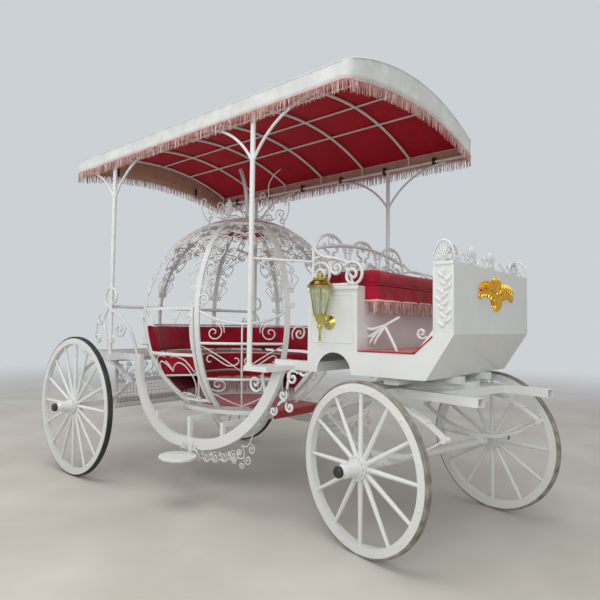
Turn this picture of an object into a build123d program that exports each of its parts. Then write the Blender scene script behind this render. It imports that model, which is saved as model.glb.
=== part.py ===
"""Horse-drawn pumpkin carriage: a round cage of ribs slung between a rear axle and a
steered fore-carriage, with a driver's box in front and a long fabric canopy on posts.

Millimetres. +X forward, +Y to the vehicle's left, +Z up. The pieces are set out from the
ground under the middle of the rear axle and moved back by MIDDLE_X, so that the origin
lies on the ground at the middle of the overall length. The fore-carriage is drawn straight
ahead and then turned about the kingpin by REST_STEER, the way the carriage is parked.
"""
from build123d import *
from math import acos, asin, atan2, cos, degrees, radians, sin, sqrt
import os

os.makedirs("parts", exist_ok=True)

# wheels and axles
REAR_WHEEL_R = 550.0
FRONT_WHEEL_R = 459.0
REAR_SPOKES = 16
FRONT_SPOKES = 12
RIM_WIDTH = 44.0
RIM_DEPTH = 44.0
TYRE_THICKNESS = 14.0
TYRE_WIDTH = 38.0
TYRE_SHOULDER = 5.0
SPOKE_R_HUB = 15.0
SPOKE_R_RIM = 10.0
SPOKE_ROOT = 8.0
SPOKE_TIP = 6.0
HUB_R = 62.0
HUB_BELLY = 32.0
HUB_BACK_R = 46.0
HUB_BACK_LENGTH = 62.0
HUB_NOSE_R = 34.0
HUB_NOSE_LENGTH = 130.0
HUB_CAP_R = 26.0
HUB_CAP_LENGTH = 30.0
REAR_FACE_Y = 930.0
FRONT_FACE_Y = 645.0
SPINDLE_R = 20.0
SPINDLE_CLEARANCE = 0.06
COLLAR_R = 34.0
COLLAR_LENGTH = 14.0
COLLAR_GAP = 6.0
REAR_AXLE_SECTION = 46.0
FRONT_AXLE_R = 24.0
FRONT_SEAT_Z = 490.0

# fore-carriage
KINGPIN_X = 2674.0
REST_STEER = -12.3
KINGPIN_R = 18.0
KINGPIN_CLEARANCE = 0.08
NUT_R = 30.0
NUT_THICKNESS = 14.0
NUT_GAP = 6.0
FORE_BEAM_Y = 340.0
FORE_BEAM_WIDTH = 56.0
FORE_BEAM_HEIGHT = 46.0
FORE_BEAM_BOTTOM = 822.0
FORE_BEAM_FRONT = 545.0
FORE_BEAM_BACK = -400.0
FORE_BEAM_WALL = 5.0
POLE_PIN_R = 8.0
POLE_PIN_SETBACK = 60.0
FORE_CROSS_HALF = 510.0
FORE_CROSS_WIDTH = 80.0
RING_R = 265.0
RING_WIDTH = 60.0
RING_THICKNESS = 17.0
RING_GAP = 0.4
BOLSTER_WIDTH = 90.0
BOLSTER_HALF = 520.0
CHASSIS_Y = 200.0

# leaf springs
FRONT_SPRING_Y = 455.0
FRONT_SPRING_HALF = 420.0
REAR_SPRING_HALF = 390.0
LEAF_WIDTH = 46.0
LEAF_THICKNESS = 7.0
LEAF_COUNT = 3
LEAF_SHORTER = 0.27
SPRING_EYE_R = 15.0
SPRING_SEAT_LENGTH = 110.0
SPRING_SEAT_HEIGHT = 8.0
CLIP_LENGTH = 60.0

# rear frame
REAR_RAIL_Y = 660.0
REAR_RAIL_SECTION = 50.0
REAR_RAIL_TOP = 975.0
REAR_RAIL_BACK = -330.0
SKIRT_X = 110.0
SKIRT_DEPTH = 420.0
SKIRT_THICKNESS = 4.0
SKIRT_SIDE_GAP = 12.0
SKIRT_HOLE_R = 9.0
SKIRT_HOLES = 12
SKIRT_ROWS = 3
SKIRT_ROW_PITCH = 29.0
SKIRT_ROWS_DROP = 231.0
REAR_GRIP_Z = 1346.0
REAR_GRIP_R = 13.0

# crescent hoops that carry the cage
HOOP_THICKNESS = 34.0
HOOP_DEPTH = 70.0
HOOP_BOTTOM = 358.0
HOOP_BACK_X = 480.0
HOOP_BACK_R = 570.0
HOOP_FLAT = 150.0
HOOP_FRONT_R = 880.0
STRUT_SECTION = 26.0
STRUT_ROOT = 23.0
BEARER_X = (780.0, 1160.0, 1500.0)
BEARER_SECTION = 30.0

# cage
CAGE_X = 1000.0
CAGE_Z = 1270.0
CAGE_R = 800.0
RIB_COUNT = 8
RIB_WIDTH = 36.0
RIB_DEPTH = 16.0
CAP_R = 370.0
CAP_THICKNESS = 18.0
CAP_SEAM = 0.3
STEM_FOOT_R = 60.0
STEM_FOOT_HEIGHT = 20.0
STEM_R = 16.0
STEM_LEAN = 80.0
STEM_HEIGHT = 430.0
STEM_MID_LEAN = 10.0
STEM_MID_HEIGHT = 236.0
BAR_R = 9.0
MIDDLE_BAR_R = 6.3
SWAG_END_Z = 1300.0
SWAG_DROP = 80.0
UPPER_BAR_Z = 1085.0
LOWER_BAR_Z = 835.0
FLOOR_TOP = 600.0
FLOOR_THICKNESS = 30.0
FLOOR_R = 470.0
FLOOR_STRETCH = 110.0
CARPET_THICKNESS = 12.0

# door
DOOR_TOP = 1330.0
DOOR_MID = 1000.0
DOOR_BOTTOM = 650.0
DOOR_GAP = 10.0
DOOR_FRAME = 20.0
DOOR_BAR_DEPTH = 13.0
HINGE_RIB = 5
HINGE_HEIGHTS = (1080.0, 1270.0)
HINGE_PIN_R = 5.0
HINGE_CLEARANCE = 0.06
HINGE_BARREL_R = 10.0
HINGE_BARREL_LENGTH = 36.0
HINGE_STAND_OFF = 14.0
LUG_THICKNESS = 8.0
LUG_GAP = 0.5
LEAF_PLATE = 3.0
LEAF_PLATE_WIDTH = 18.0
LUG_LAP = 1.0

# bench in the cage
SEAT_TOP = 968.0
SEAT_THICKNESS = 150.0
BENCH_INNER_R = 340.0
BENCH_START = 70.0
BENCH_SWEEP = 168.0
BENCH_BACK_TOP = 1205.0
BENCH_BACK_THICKNESS = 62.0
BOARD_THICKNESS = 14.0
RISER_SETBACK = 14.0
SOFT_GAP = 0.3
CAGE_CLEARANCE = 14.0

# driver's box
BOX_HALF = 575.0
BOX_SHEET = 4.0
BOX_BACK = 2140.0
SEAT_FRONT = 2490.0
BOX_BOTTOM = 942.0
SEAT_LEDGE = 1440.0
FOOT_FLOOR = 1072.0
FOOT_FRONT = 2840.0
WING_BACK = 2940.0
WING_BOTTOM = 1200.0
DASH_FRONT = 3050.0
DASH_BOTTOM = 1178.0
DASH_TOP = 1540.0
BOX_FRONT = 2900.0
BOX_RAIL = 58.0
BOX_RAIL_BACK = 1870.0
ARCH_SETBACK = 190.0
ARCH_R = 120.0
OUTRIGGER_THICKNESS = 30.0
CUSHION_SETBACK = 30.0
DRIVER_CUSHION = 92.0
DRIVER_CUSHION_FRONT = 2585.0
DRIVER_CUSHION_HALF = 505.0
RAIL_TUBE_R = 11.0
RAIL_POST_R = 10.0
RAIL_SIDE_R = 9.0
RAIL_ARM_R = 8.0
RAIL_HEIGHT = 305.0
RAIL_ARCH = 70.0
ARM_DROP = 60.0
ARM_SETBACK = 30.0
ARM_MID_X = 2340.0
ARM_MID_DROP = 85.0
LOOP_PLACES = (0.2, 0.62)
LOOP_HALF = 0.17
LOOP_DROP = 40.0
LOOP_TUBE_R = 8.0
CREST_ARCHES = 8
CREST_RISE = 62.0
CREST_END_RISE = 99.0
CREST_BAR_R = 5.0
LEVER_X = 2680.0
LEVER_Y = 470.0
LEVER_R = 8.0
LEVER_PIVOT_Z = 1130.0
LEVER_GRIP_Z = 1262.0
LEVER_RAKE = 24.0
LEVER_FOOT = (80.0, 48.0)

# lamps
LAMP_SETBACK = 160.0
LAMP_ARM_LENGTH = 90.0
LAMP_BOSS_Z = 1232.0
LAMP_ARM_R = 9.0
LAMP_PLATE_R = 27.0
LAMP_PLATE_THICKNESS = 8.0
LAMP_PROFILE = (
    # radius, height
    (0.0, 1135.0),
    (7.0, 1143.0),
    (9.0, 1202.0),
    (24.0, 1232.0),
    (24.0, 1262.0),
    (46.0, 1262.0),
    (58.0, 1455.0),
    (65.0, 1459.0),
    (38.0, 1483.0),
    (9.0, 1492.0),
    (0.0, 1500.0),
)

# canopy and its posts
CANOPY_HALF = 824.0
CANOPY_BACK = -262.0
CANOPY_FRONT = 2592.0
CANOPY_CROWN = 2772.0
CANOPY_RISE = 170.0
CANOPY_BAND = 102.0
CANOPY_CLOTH = 6.0
CANOPY_CORNER = 70.0
END_ARCH_RISE = 100.0
CANOPY_TUBE_R = 12.0
BOW_TUBE_R = 10.0
BOW_COUNT = 7
BOW_INSET = 20.0
RIM_HEIGHT = 20.0
PURLIN_Y = 330.0
PURLIN_R = 7.0
UPRIGHT_R = 8.0
POST_X_REAR = 320.0
POST_X_FRONT = 1875.0
POST_R = 16.0
POST_FLANGE = 12.0
POST_INSET = 20.0
POST_FOOT_RIM = 7.0
POST_SEAT_RIM = 8.0
BRACE_DROP = 300.0
BRACE_REACH = 520.0
BRACE_MID_REACH = 220.0
BRACE_MID_DROP = 90.0
BRACE_R = 9.0

# steps
STEP_X = 1190.0
STEP_LENGTH = 380.0
STEP_DEPTH = 210.0
STEP_TOP = 340.0
STEP_THICKNESS = 24.0
STEP_CORNER = 60.0
STRAP_WIDTH = 44.0
STRAP_THICKNESS = 8.0
STRAP_REACH = 56.0

# places that follow from the sizes above
SIDES = (("right", -1), ("left", 1))
UP = (0, 0, 1)
KINGPIN = Axis((KINGPIN_X, 0, 0), UP)
POST_Y = CANOPY_HALF - CANOPY_CLOTH - POST_INSET
canopy_shoulder = CANOPY_CROWN - CANOPY_RISE
canopy_edge = canopy_shoulder - CANOPY_BAND
arch_x = BOX_BACK + ARCH_SETBACK
hoop_bottom_x = HOOP_BACK_X + HOOP_BACK_R
hoop_back_z = HOOP_BOTTOM + HOOP_BACK_R
hoop_front_centre = (hoop_bottom_x + HOOP_FLAT, HOOP_BOTTOM + HOOP_FRONT_R)
hoop_front_x = hoop_front_centre[0] + sqrt(HOOP_FRONT_R ** 2 - (hoop_front_centre[1] - BOX_BOTTOM) ** 2)
hoop_front_turn = asin((hoop_front_x - hoop_front_centre[0]) / HOOP_FRONT_R)
bearer_bottom = FLOOR_TOP - FLOOR_THICKNESS - BEARER_SECTION
hinge_r = CAGE_R + RIB_DEPTH / 2 + HINGE_STAND_OFF
hinge_t = RIB_WIDTH / 2 + DOOR_GAP / 2
# the overall length runs from the rear tyres to the leading corner of the turned fore-carriage
fore_reach = (FORE_BEAM_FRONT * cos(radians(REST_STEER))
              + (FORE_BEAM_Y + FORE_BEAM_WIDTH / 2) * abs(sin(radians(REST_STEER))))
MIDDLE_X = (KINGPIN_X + fore_reach - REAR_WHEEL_R) / 2


def hoop_inner_z(x):
    """Height of the hoop's upper edge above a place along the carriage."""
    if x < hoop_bottom_x:
        return hoop_back_z - sqrt((HOOP_BACK_R - HOOP_DEPTH) ** 2 - (hoop_bottom_x - x) ** 2)
    if x < hoop_front_centre[0]:
        return HOOP_BOTTOM + HOOP_DEPTH
    return hoop_front_centre[1] - sqrt((HOOP_FRONT_R - HOOP_DEPTH) ** 2 - (x - hoop_front_centre[0]) ** 2)


def rod(start, end, radius):
    """A straight round bar from one point to another, added to the open part."""
    run = Vector(*end) - Vector(*start)
    with BuildSketch(Plane(origin=start, z_dir=run)) as section:
        Circle(radius)
    extrude(section.sketch, amount=run.length)


def bent_rod(start, middle, end, radius):
    """A round bar bent to one arc through three points, added to the open part."""
    with BuildLine() as path:
        ThreePointArc(start, middle, end)
    with BuildSketch(Plane(origin=path.wire() @ 0, z_dir=path.wire() % 0)) as section:
        Circle(radius)
    sweep(section.sketch, path=path.wire())


def block(x, y, z):
    """A square-cut bar between the given (low, high) limits on each axis."""
    with BuildSketch(Plane.XY.offset(z[0])) as section:
        with Locations(((x[0] + x[1]) / 2, (y[0] + y[1]) / 2)):
            Rectangle(x[1] - x[0], y[1] - y[0])
    extrude(section.sketch, amount=z[1] - z[0])


def both(side, low, high):
    """The (low, high) limits of a piece between two distances from the middle, on one side."""
    return (low, high) if side > 0 else (-high, -low)


def save(shape, label, steered=False):
    """Write one sub-part from the carriage's middle, turned where it rides on the fore-carriage."""
    shape = shape.rotate(KINGPIN, REST_STEER) if steered else shape
    shape = shape.moved(Location((-MIDDLE_X, 0, 0)))
    shape.label = label
    export_step(shape, f"parts/{label}.step")


def cage_radius(height, skin=0.0):
    """Distance of the cage's sphere from its upright axis at a height."""
    return sqrt((CAGE_R + skin) ** 2 - (height - CAGE_Z) ** 2)


def cage_point(azimuth, height, skin=0.0):
    """A point on the cage at an azimuth (degrees from straight ahead) and a height."""
    r = cage_radius(height, skin)
    return (CAGE_X + r * cos(radians(azimuth)), r * sin(radians(azimuth)), height)


# wheels
WHEELS = (
    # name, x, face_y, radius, spokes, steered
    ("rear", 0.0, REAR_FACE_Y, REAR_WHEEL_R, REAR_SPOKES, False),
    ("front", KINGPIN_X, FRONT_FACE_Y, FRONT_WHEEL_R, FRONT_SPOKES, True),
)
bore_r = SPINDLE_R + SPINDLE_CLEARANCE
tread = TYRE_WIDTH / 2 - TYRE_SHOULDER
for name, wheel_x, face_y, wheel_r, spokes, steered in WHEELS:
    for side_name, side in SIDES:
        centre = (wheel_x, side * (face_y - RIM_WIDTH / 2), wheel_r)
        axle_line = Axis(centre, (0, 1, 0))
        profile = Plane(origin=centre, x_dir=(0, side, 0), z_dir=(side, 0, 0))
        face = Plane(origin=centre, x_dir=(1, 0, 0), z_dir=(0, side, 0))
        rim_r = wheel_r - TYRE_THICKNESS
        spoke_in, spoke_out = HUB_R - SPOKE_ROOT, rim_r - RIM_DEPTH + SPOKE_TIP
        with BuildPart() as wheel:
            with BuildSketch(profile):
                with Locations((0, rim_r - RIM_DEPTH / 2)):
                    Rectangle(RIM_WIDTH, RIM_DEPTH)
            revolve(axis=axle_line)
            with BuildSketch(profile):
                with BuildLine():
                    Polyline((-HUB_BACK_LENGTH, bore_r), (-HUB_BACK_LENGTH, HUB_BACK_R),
                             (-HUB_BELLY, HUB_BACK_R), (-HUB_BELLY, HUB_R), (HUB_BELLY, HUB_R),
                             (HUB_BELLY, HUB_BACK_R), (HUB_NOSE_LENGTH, HUB_NOSE_R),
                             (HUB_NOSE_LENGTH + HUB_CAP_LENGTH, HUB_CAP_R),
                             (HUB_NOSE_LENGTH + HUB_CAP_LENGTH, 0), (HUB_NOSE_LENGTH, 0),
                             (HUB_NOSE_LENGTH, bore_r), (-HUB_BACK_LENGTH, bore_r))
                make_face()
            revolve(axis=axle_line)
            with Locations(face):
                with PolarLocations((spoke_in + spoke_out) / 2, spokes, start_angle=90):
                    Cone(SPOKE_R_HUB, SPOKE_R_RIM, spoke_out - spoke_in, rotation=(0, 90, 0))
        save(wheel.part, f"wheel_{name}_{side_name}", steered)
        with BuildPart() as tyre:
            with BuildSketch(profile):
                with BuildLine():
                    Polyline((-TYRE_WIDTH / 2, rim_r), (-TYRE_WIDTH / 2, wheel_r - TYRE_SHOULDER),
                             (-tread, wheel_r), (tread, wheel_r),
                             (TYRE_WIDTH / 2, wheel_r - TYRE_SHOULDER), (TYRE_WIDTH / 2, rim_r),
                             close=True)
                make_face()
            revolve(axis=axle_line)
        save(tyre.part, f"tyre_{name}_{side_name}", steered)

# axles
AXLES = (
    # name, x, face_y, wheel_r, square section or None for a round tube, steered
    ("rear_axle", 0.0, REAR_FACE_Y, REAR_WHEEL_R, True, False),
    ("front_axle", KINGPIN_X, FRONT_FACE_Y, FRONT_WHEEL_R, False, True),
)
for name, axle_x, face_y, wheel_r, square, steered in AXLES:
    hub_back = face_y - RIM_WIDTH / 2 - HUB_BACK_LENGTH
    collar_face = hub_back - COLLAR_GAP
    spindle_end = face_y - RIM_WIDTH / 2 + HUB_NOSE_LENGTH - COLLAR_GAP
    with BuildPart() as axle:
        with BuildSketch(Plane(origin=(axle_x, -collar_face, wheel_r), x_dir=(1, 0, 0), z_dir=(0, 1, 0))):
            if square:
                Rectangle(REAR_AXLE_SECTION, REAR_AXLE_SECTION)
            else:
                Circle(FRONT_AXLE_R)
        extrude(amount=2 * collar_face)
        for side_name, side in SIDES:
            with BuildSketch(Plane(origin=(axle_x, side * collar_face, wheel_r), x_dir=(1, 0, 0),
                                   z_dir=(0, -side, 0))):
                Circle(COLLAR_R)
            extrude(amount=COLLAR_LENGTH)
            rod((axle_x, side * collar_face, wheel_r), (axle_x, side * spindle_end, wheel_r), SPINDLE_R)
            if not square:
                y = both(side, FRONT_SPRING_Y - LEAF_WIDTH / 2, FRONT_SPRING_Y + LEAF_WIDTH / 2)
                block((axle_x - SPRING_SEAT_LENGTH / 2, axle_x + SPRING_SEAT_LENGTH / 2), y,
                      (wheel_r, FRONT_SEAT_Z))
    save(axle.part, name, steered)

# full-elliptic leaf springs
rear_seat_z = REAR_WHEEL_R + REAR_AXLE_SECTION / 2
rear_rail_bottom = REAR_RAIL_TOP - REAR_RAIL_SECTION
SPRINGS = (
    # name, x, distance from the middle, half length, lower seat, upper seat, steered
    ("spring_rear", 0.0, REAR_RAIL_Y, REAR_SPRING_HALF, rear_seat_z, rear_rail_bottom, False),
    ("spring_front", KINGPIN_X, FRONT_SPRING_Y, FRONT_SPRING_HALF, FRONT_SEAT_Z, FORE_BEAM_BOTTOM, True),
)
for name, spring_x, spring_y, half, low, high, steered in SPRINGS:
    eye_z = (low + high) / 2
    pack_out = (LEAF_COUNT - 0.5) * LEAF_THICKNESS
    sag = (high - low) / 2 - SPRING_SEAT_HEIGHT - pack_out
    bend = (half ** 2 + sag ** 2) / (2 * sag)
    spread = asin(half / bend)
    for side_name, side in SIDES:
        with BuildPart() as spring:
            with BuildSketch(Plane(origin=(spring_x, side * spring_y, eye_z), x_dir=(1, 0, 0),
                                   z_dir=(0, -1, 0))):
                for i in range(LEAF_COUNT):
                    turn = spread * (1 - LEAF_SHORTER * i)
                    inner = bend + (i - 0.5) * LEAF_THICKNESS
                    outer = inner + LEAF_THICKNESS
                    base = sag - bend
                    with BuildLine():
                        ThreePointArc((-inner * sin(turn), base + inner * cos(turn)), (0, base + inner),
                                      (inner * sin(turn), base + inner * cos(turn)))
                        Line((inner * sin(turn), base + inner * cos(turn)),
                             (outer * sin(turn), base + outer * cos(turn)))
                        ThreePointArc((outer * sin(turn), base + outer * cos(turn)), (0, base + outer),
                                      (-outer * sin(turn), base + outer * cos(turn)))
                        Line((-outer * sin(turn), base + outer * cos(turn)),
                             (-inner * sin(turn), base + inner * cos(turn)))
                    make_face()
                with Locations((0, (high - low) / 2 - SPRING_SEAT_HEIGHT - pack_out / 2)):
                    Rectangle(CLIP_LENGTH, pack_out)
                with Locations((0, (high - low) / 2 - SPRING_SEAT_HEIGHT)):
                    Rectangle(SPRING_SEAT_LENGTH, 2 * SPRING_SEAT_HEIGHT)
                with Locations((half, 0), (-half, 0)):
                    Circle(SPRING_EYE_R)
                mirror(about=Plane.XZ)
            extrude(amount=LEAF_WIDTH / 2, both=True)
        save(spring.part, f"{name}_{side_name}", steered)

# fore-carriage frame, turning about the kingpin
fore_top = FORE_BEAM_BOTTOM + FORE_BEAM_HEIGHT
ring_low_top = fore_top + RING_THICKNESS
ring_high_bottom = ring_low_top + RING_GAP
bolster_bottom = ring_high_bottom + RING_THICKNESS
ring_mid = RING_R - RING_WIDTH / 2
socket_back = KINGPIN_X + ring_mid + FORE_CROSS_WIDTH / 2
socket_front = KINGPIN_X + FORE_BEAM_FRONT
with BuildPart() as fore_frame:
    for x in (-ring_mid, 0, ring_mid):
        half = FORE_CROSS_HALF if x == 0 else FORE_BEAM_Y
        block((KINGPIN_X + x - FORE_CROSS_WIDTH / 2, KINGPIN_X + x + FORE_CROSS_WIDTH / 2), (-half, half),
              (FORE_BEAM_BOTTOM, fore_top))
    for side_name, side in SIDES:
        y = both(side, FORE_BEAM_Y - FORE_BEAM_WIDTH / 2, FORE_BEAM_Y + FORE_BEAM_WIDTH / 2)
        block((KINGPIN_X + FORE_BEAM_BACK, socket_back), y, (FORE_BEAM_BOTTOM, fore_top))
    with BuildSketch(Plane.XY.offset(FORE_BEAM_BOTTOM)):
        with Locations((KINGPIN_X, 0)):
            Circle(KINGPIN_R + KINGPIN_CLEARANCE)
    extrude(amount=FORE_BEAM_HEIGHT, mode=Mode.SUBTRACT)
save(fore_frame.part, "fore_frame", True)

# open sockets for the shafts on the beams' front ends, each with a hole for the shaft pin
for side_name, side in SIDES:
    mouth = Plane(origin=(socket_front, side * FORE_BEAM_Y, FORE_BEAM_BOTTOM + FORE_BEAM_HEIGHT / 2),
                  x_dir=(0, 1, 0), z_dir=(-1, 0, 0))
    with BuildPart() as socket:
        with BuildSketch(mouth) as outside:
            Rectangle(FORE_BEAM_WIDTH, FORE_BEAM_HEIGHT)
        extrude(outside.sketch, amount=socket_front - socket_back)
        with BuildSketch(mouth) as hollow:
            Rectangle(FORE_BEAM_WIDTH - 2 * FORE_BEAM_WALL, FORE_BEAM_HEIGHT - 2 * FORE_BEAM_WALL)
        extrude(hollow.sketch, amount=socket_front - socket_back - FORE_BEAM_WALL, mode=Mode.SUBTRACT)
        with BuildSketch(Plane.XY.offset(FORE_BEAM_BOTTOM)) as pin_hole:
            with Locations((socket_front - POLE_PIN_SETBACK, side * FORE_BEAM_Y)):
                Circle(POLE_PIN_R)
        extrude(pin_hole.sketch, amount=FORE_BEAM_HEIGHT, mode=Mode.SUBTRACT)
    save(socket.part, f"shaft_socket_{side_name}", True)

with BuildPart() as turntable_lower:
    with BuildSketch(Plane.XY.offset(fore_top)):
        with Locations((KINGPIN_X, 0)):
            Circle(RING_R)
            Circle(RING_R - RING_WIDTH, mode=Mode.SUBTRACT)
    extrude(amount=RING_THICKNESS)
save(turntable_lower.part, "turntable_lower", True)

# bolster under the driver's box, with the upper ring and the kingpin
with BuildPart() as bolster:
    with BuildSketch(Plane.XY.offset(ring_high_bottom)):
        with Locations((KINGPIN_X, 0)):
            Circle(RING_R)
            Circle(RING_R - RING_WIDTH, mode=Mode.SUBTRACT)
    extrude(amount=RING_THICKNESS)
    block((KINGPIN_X - BOLSTER_WIDTH / 2, KINGPIN_X + BOLSTER_WIDTH / 2),
          (-BOLSTER_HALF, BOLSTER_HALF), (bolster_bottom, BOX_BOTTOM))
    for side_name, side in SIDES:
        y = both(side, CHASSIS_Y - BOX_RAIL / 2, CHASSIS_Y + BOX_RAIL / 2)
        block((KINGPIN_X - RING_R, KINGPIN_X + RING_R), y, (bolster_bottom, BOX_BOTTOM))
    rod((KINGPIN_X, 0, BOX_BOTTOM), (KINGPIN_X, 0, FORE_BEAM_BOTTOM - NUT_GAP - NUT_THICKNESS), KINGPIN_R)
    rod((KINGPIN_X, 0, FORE_BEAM_BOTTOM - NUT_GAP),
        (KINGPIN_X, 0, FORE_BEAM_BOTTOM - NUT_GAP - NUT_THICKNESS), NUT_R)
save(bolster.part, "bolster")

# front chassis inside the driver's box, with the posts' outriggers
rail_top = BOX_BOTTOM + BOX_RAIL
inside = BOX_HALF - BOX_SHEET
with BuildPart() as front_chassis:
    for side_name, side in SIDES:
        block((BOX_RAIL_BACK, arch_x - ARCH_R - SOFT_GAP), both(side, inside - BOX_RAIL, inside),
              (BOX_BOTTOM, rail_top))
        block((BOX_BACK + BOX_SHEET, BOX_FRONT - BOX_SHEET - BOX_RAIL),
              both(side, CHASSIS_Y - BOX_RAIL / 2, CHASSIS_Y + BOX_RAIL / 2), (BOX_BOTTOM, rail_top))
        block((POST_X_FRONT - POST_R - POST_SEAT_RIM, hoop_front_x + POST_SEAT_RIM),
              both(side, inside, POST_Y + POST_R + POST_SEAT_RIM),
              (BOX_BOTTOM, BOX_BOTTOM + OUTRIGGER_THICKNESS))
    for back in (BOX_BACK + BOX_SHEET, BOX_FRONT - BOX_SHEET - BOX_RAIL):
        block((back, back + BOX_RAIL), (-inside, inside), (BOX_BOTTOM, rail_top))
save(front_chassis.part, "front_chassis")

# rear frame
with BuildPart() as rear_frame:
    for side_name, side in SIDES:
        block((REAR_RAIL_BACK, HOOP_BACK_X),
              both(side, REAR_RAIL_Y - REAR_RAIL_SECTION / 2, REAR_RAIL_Y + REAR_RAIL_SECTION / 2),
              (rear_rail_bottom, REAR_RAIL_TOP))
        block((POST_X_REAR - REAR_RAIL_SECTION / 2, POST_X_REAR + REAR_RAIL_SECTION / 2),
              both(side, REAR_RAIL_Y, POST_Y + POST_R + POST_SEAT_RIM), (rear_rail_bottom, REAR_RAIL_TOP))
    block((REAR_RAIL_BACK, REAR_RAIL_BACK + REAR_RAIL_SECTION), (-REAR_RAIL_Y, REAR_RAIL_Y),
          (rear_rail_bottom, REAR_RAIL_TOP))
    block((SKIRT_X - REAR_RAIL_SECTION / 2, SKIRT_X + REAR_RAIL_SECTION / 2), (-REAR_RAIL_Y, REAR_RAIL_Y),
          (rear_rail_bottom, REAR_RAIL_TOP))
save(rear_frame.part, "rear_frame")

skirt_half = REAR_RAIL_Y - LEAF_WIDTH / 2 - SKIRT_SIDE_GAP
with BuildPart() as rear_skirt:
    with BuildSketch(Plane(origin=(SKIRT_X, 0, rear_rail_bottom), x_dir=(0, 1, 0), z_dir=(1, 0, 0))):
        with Locations((0, -SKIRT_DEPTH / 2)):
            Rectangle(2 * skirt_half, SKIRT_DEPTH)
        with Locations((0, -SKIRT_ROWS_DROP)):
            with GridLocations(2 * skirt_half / SKIRT_HOLES, SKIRT_ROW_PITCH, SKIRT_HOLES - 1, SKIRT_ROWS):
                Circle(SKIRT_HOLE_R, mode=Mode.SUBTRACT)
    extrude(amount=SKIRT_THICKNESS / 2, both=True)
save(rear_skirt.part, "rear_skirt")

# crescent hoops
def hoop_quarter(radius):
    """The point halfway round the hoop's rear bend."""
    return (hoop_bottom_x - radius * sin(radians(45)), hoop_back_z - radius * cos(radians(45)))


for side_name, side in SIDES:
    with BuildPart() as hoop:
        with BuildSketch(Plane(origin=(0, side * REAR_RAIL_Y, 0), x_dir=(1, 0, 0), z_dir=(0, -1, 0))):
            with BuildLine():
                back = (HOOP_BACK_X, hoop_back_z)
                bottom_back = (hoop_bottom_x, HOOP_BOTTOM)
                bottom_front = (hoop_bottom_x + HOOP_FLAT, HOOP_BOTTOM)
                Line((HOOP_BACK_X, REAR_RAIL_TOP), back)
                ThreePointArc(back, hoop_quarter(HOOP_BACK_R), bottom_back)
                Line(bottom_back, bottom_front)
                front_mid = (hoop_front_centre[0] + HOOP_FRONT_R * sin(hoop_front_turn / 2),
                             hoop_front_centre[1] - HOOP_FRONT_R * cos(hoop_front_turn / 2))
                ThreePointArc(bottom_front, front_mid, (hoop_front_x, BOX_BOTTOM))
                inner_r = HOOP_FRONT_R - HOOP_DEPTH
                inner_x = hoop_front_centre[0] + sqrt(inner_r ** 2 - (hoop_front_centre[1] - BOX_BOTTOM) ** 2)
                inner_turn = asin((inner_x - hoop_front_centre[0]) / inner_r)
                inner_mid = (hoop_front_centre[0] + inner_r * sin(inner_turn / 2),
                             hoop_front_centre[1] - inner_r * cos(inner_turn / 2))
                Line((hoop_front_x, BOX_BOTTOM), (inner_x, BOX_BOTTOM))
                ThreePointArc((inner_x, BOX_BOTTOM), inner_mid,
                              (hoop_bottom_x + HOOP_FLAT, HOOP_BOTTOM + HOOP_DEPTH))
                Line((hoop_bottom_x + HOOP_FLAT, HOOP_BOTTOM + HOOP_DEPTH),
                     (hoop_bottom_x, HOOP_BOTTOM + HOOP_DEPTH))
                ThreePointArc((hoop_bottom_x, HOOP_BOTTOM + HOOP_DEPTH),
                              hoop_quarter(HOOP_BACK_R - HOOP_DEPTH),
                              (HOOP_BACK_X + HOOP_DEPTH, hoop_back_z))
                Line((HOOP_BACK_X + HOOP_DEPTH, hoop_back_z), (HOOP_BACK_X + HOOP_DEPTH, REAR_RAIL_TOP))
                Line((HOOP_BACK_X + HOOP_DEPTH, REAR_RAIL_TOP), (HOOP_BACK_X, REAR_RAIL_TOP))
            make_face()
        extrude(amount=HOOP_THICKNESS / 2, both=True)
        for x in BEARER_X:
            y = both(side, REAR_RAIL_Y - STRUT_SECTION / 2, REAR_RAIL_Y + STRUT_SECTION / 2)
            block((x - STRUT_SECTION / 2, x + STRUT_SECTION / 2), y,
                  (hoop_inner_z(x) - STRUT_ROOT, bearer_bottom))
    save(hoop.part, f"hoop_{side_name}")

# steps hung from the hoops
for side_name, side in SIDES:
    hoop_face = REAR_RAIL_Y + HOOP_THICKNESS / 2
    with BuildPart() as step:
        block((STEP_X - STRAP_WIDTH / 2, STEP_X + STRAP_WIDTH / 2),
              both(side, hoop_face, hoop_face + STRAP_THICKNESS),
              (STEP_TOP - STEP_THICKNESS, HOOP_BOTTOM + STRAP_REACH))
        with BuildSketch(Plane.XY.offset(STEP_TOP - STEP_THICKNESS)):
            with Locations((STEP_X, side * (hoop_face + STEP_DEPTH / 2))):
                RectangleRounded(STEP_LENGTH, STEP_DEPTH, STEP_CORNER)
        extrude(amount=STEP_THICKNESS)
    save(step.part, f"step_{side_name}")

# cage floor on its bearers
with BuildPart() as cage_floor:
    with BuildSketch(Plane.XY.offset(FLOOR_TOP - FLOOR_THICKNESS)):
        with Locations((CAGE_X + FLOOR_STRETCH / 2, 0)):
            SlotCenterToCenter(FLOOR_STRETCH, 2 * FLOOR_R)
    extrude(amount=FLOOR_THICKNESS)
    for x in BEARER_X:
        half = REAR_RAIL_Y + STRUT_SECTION / 2
        block((x - BEARER_SECTION / 2, x + BEARER_SECTION / 2), (-half, half),
              (bearer_bottom, bearer_bottom + BEARER_SECTION))
save(cage_floor.part, "cage_floor")

with BuildPart() as carpet:
    with BuildSketch(Plane.XY.offset(FLOOR_TOP)):
        with Locations((CAGE_X, 0)):
            Circle(BENCH_INNER_R - SOFT_GAP)
    extrude(amount=CARPET_THICKNESS)
save(carpet.part, "carpet")

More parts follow.
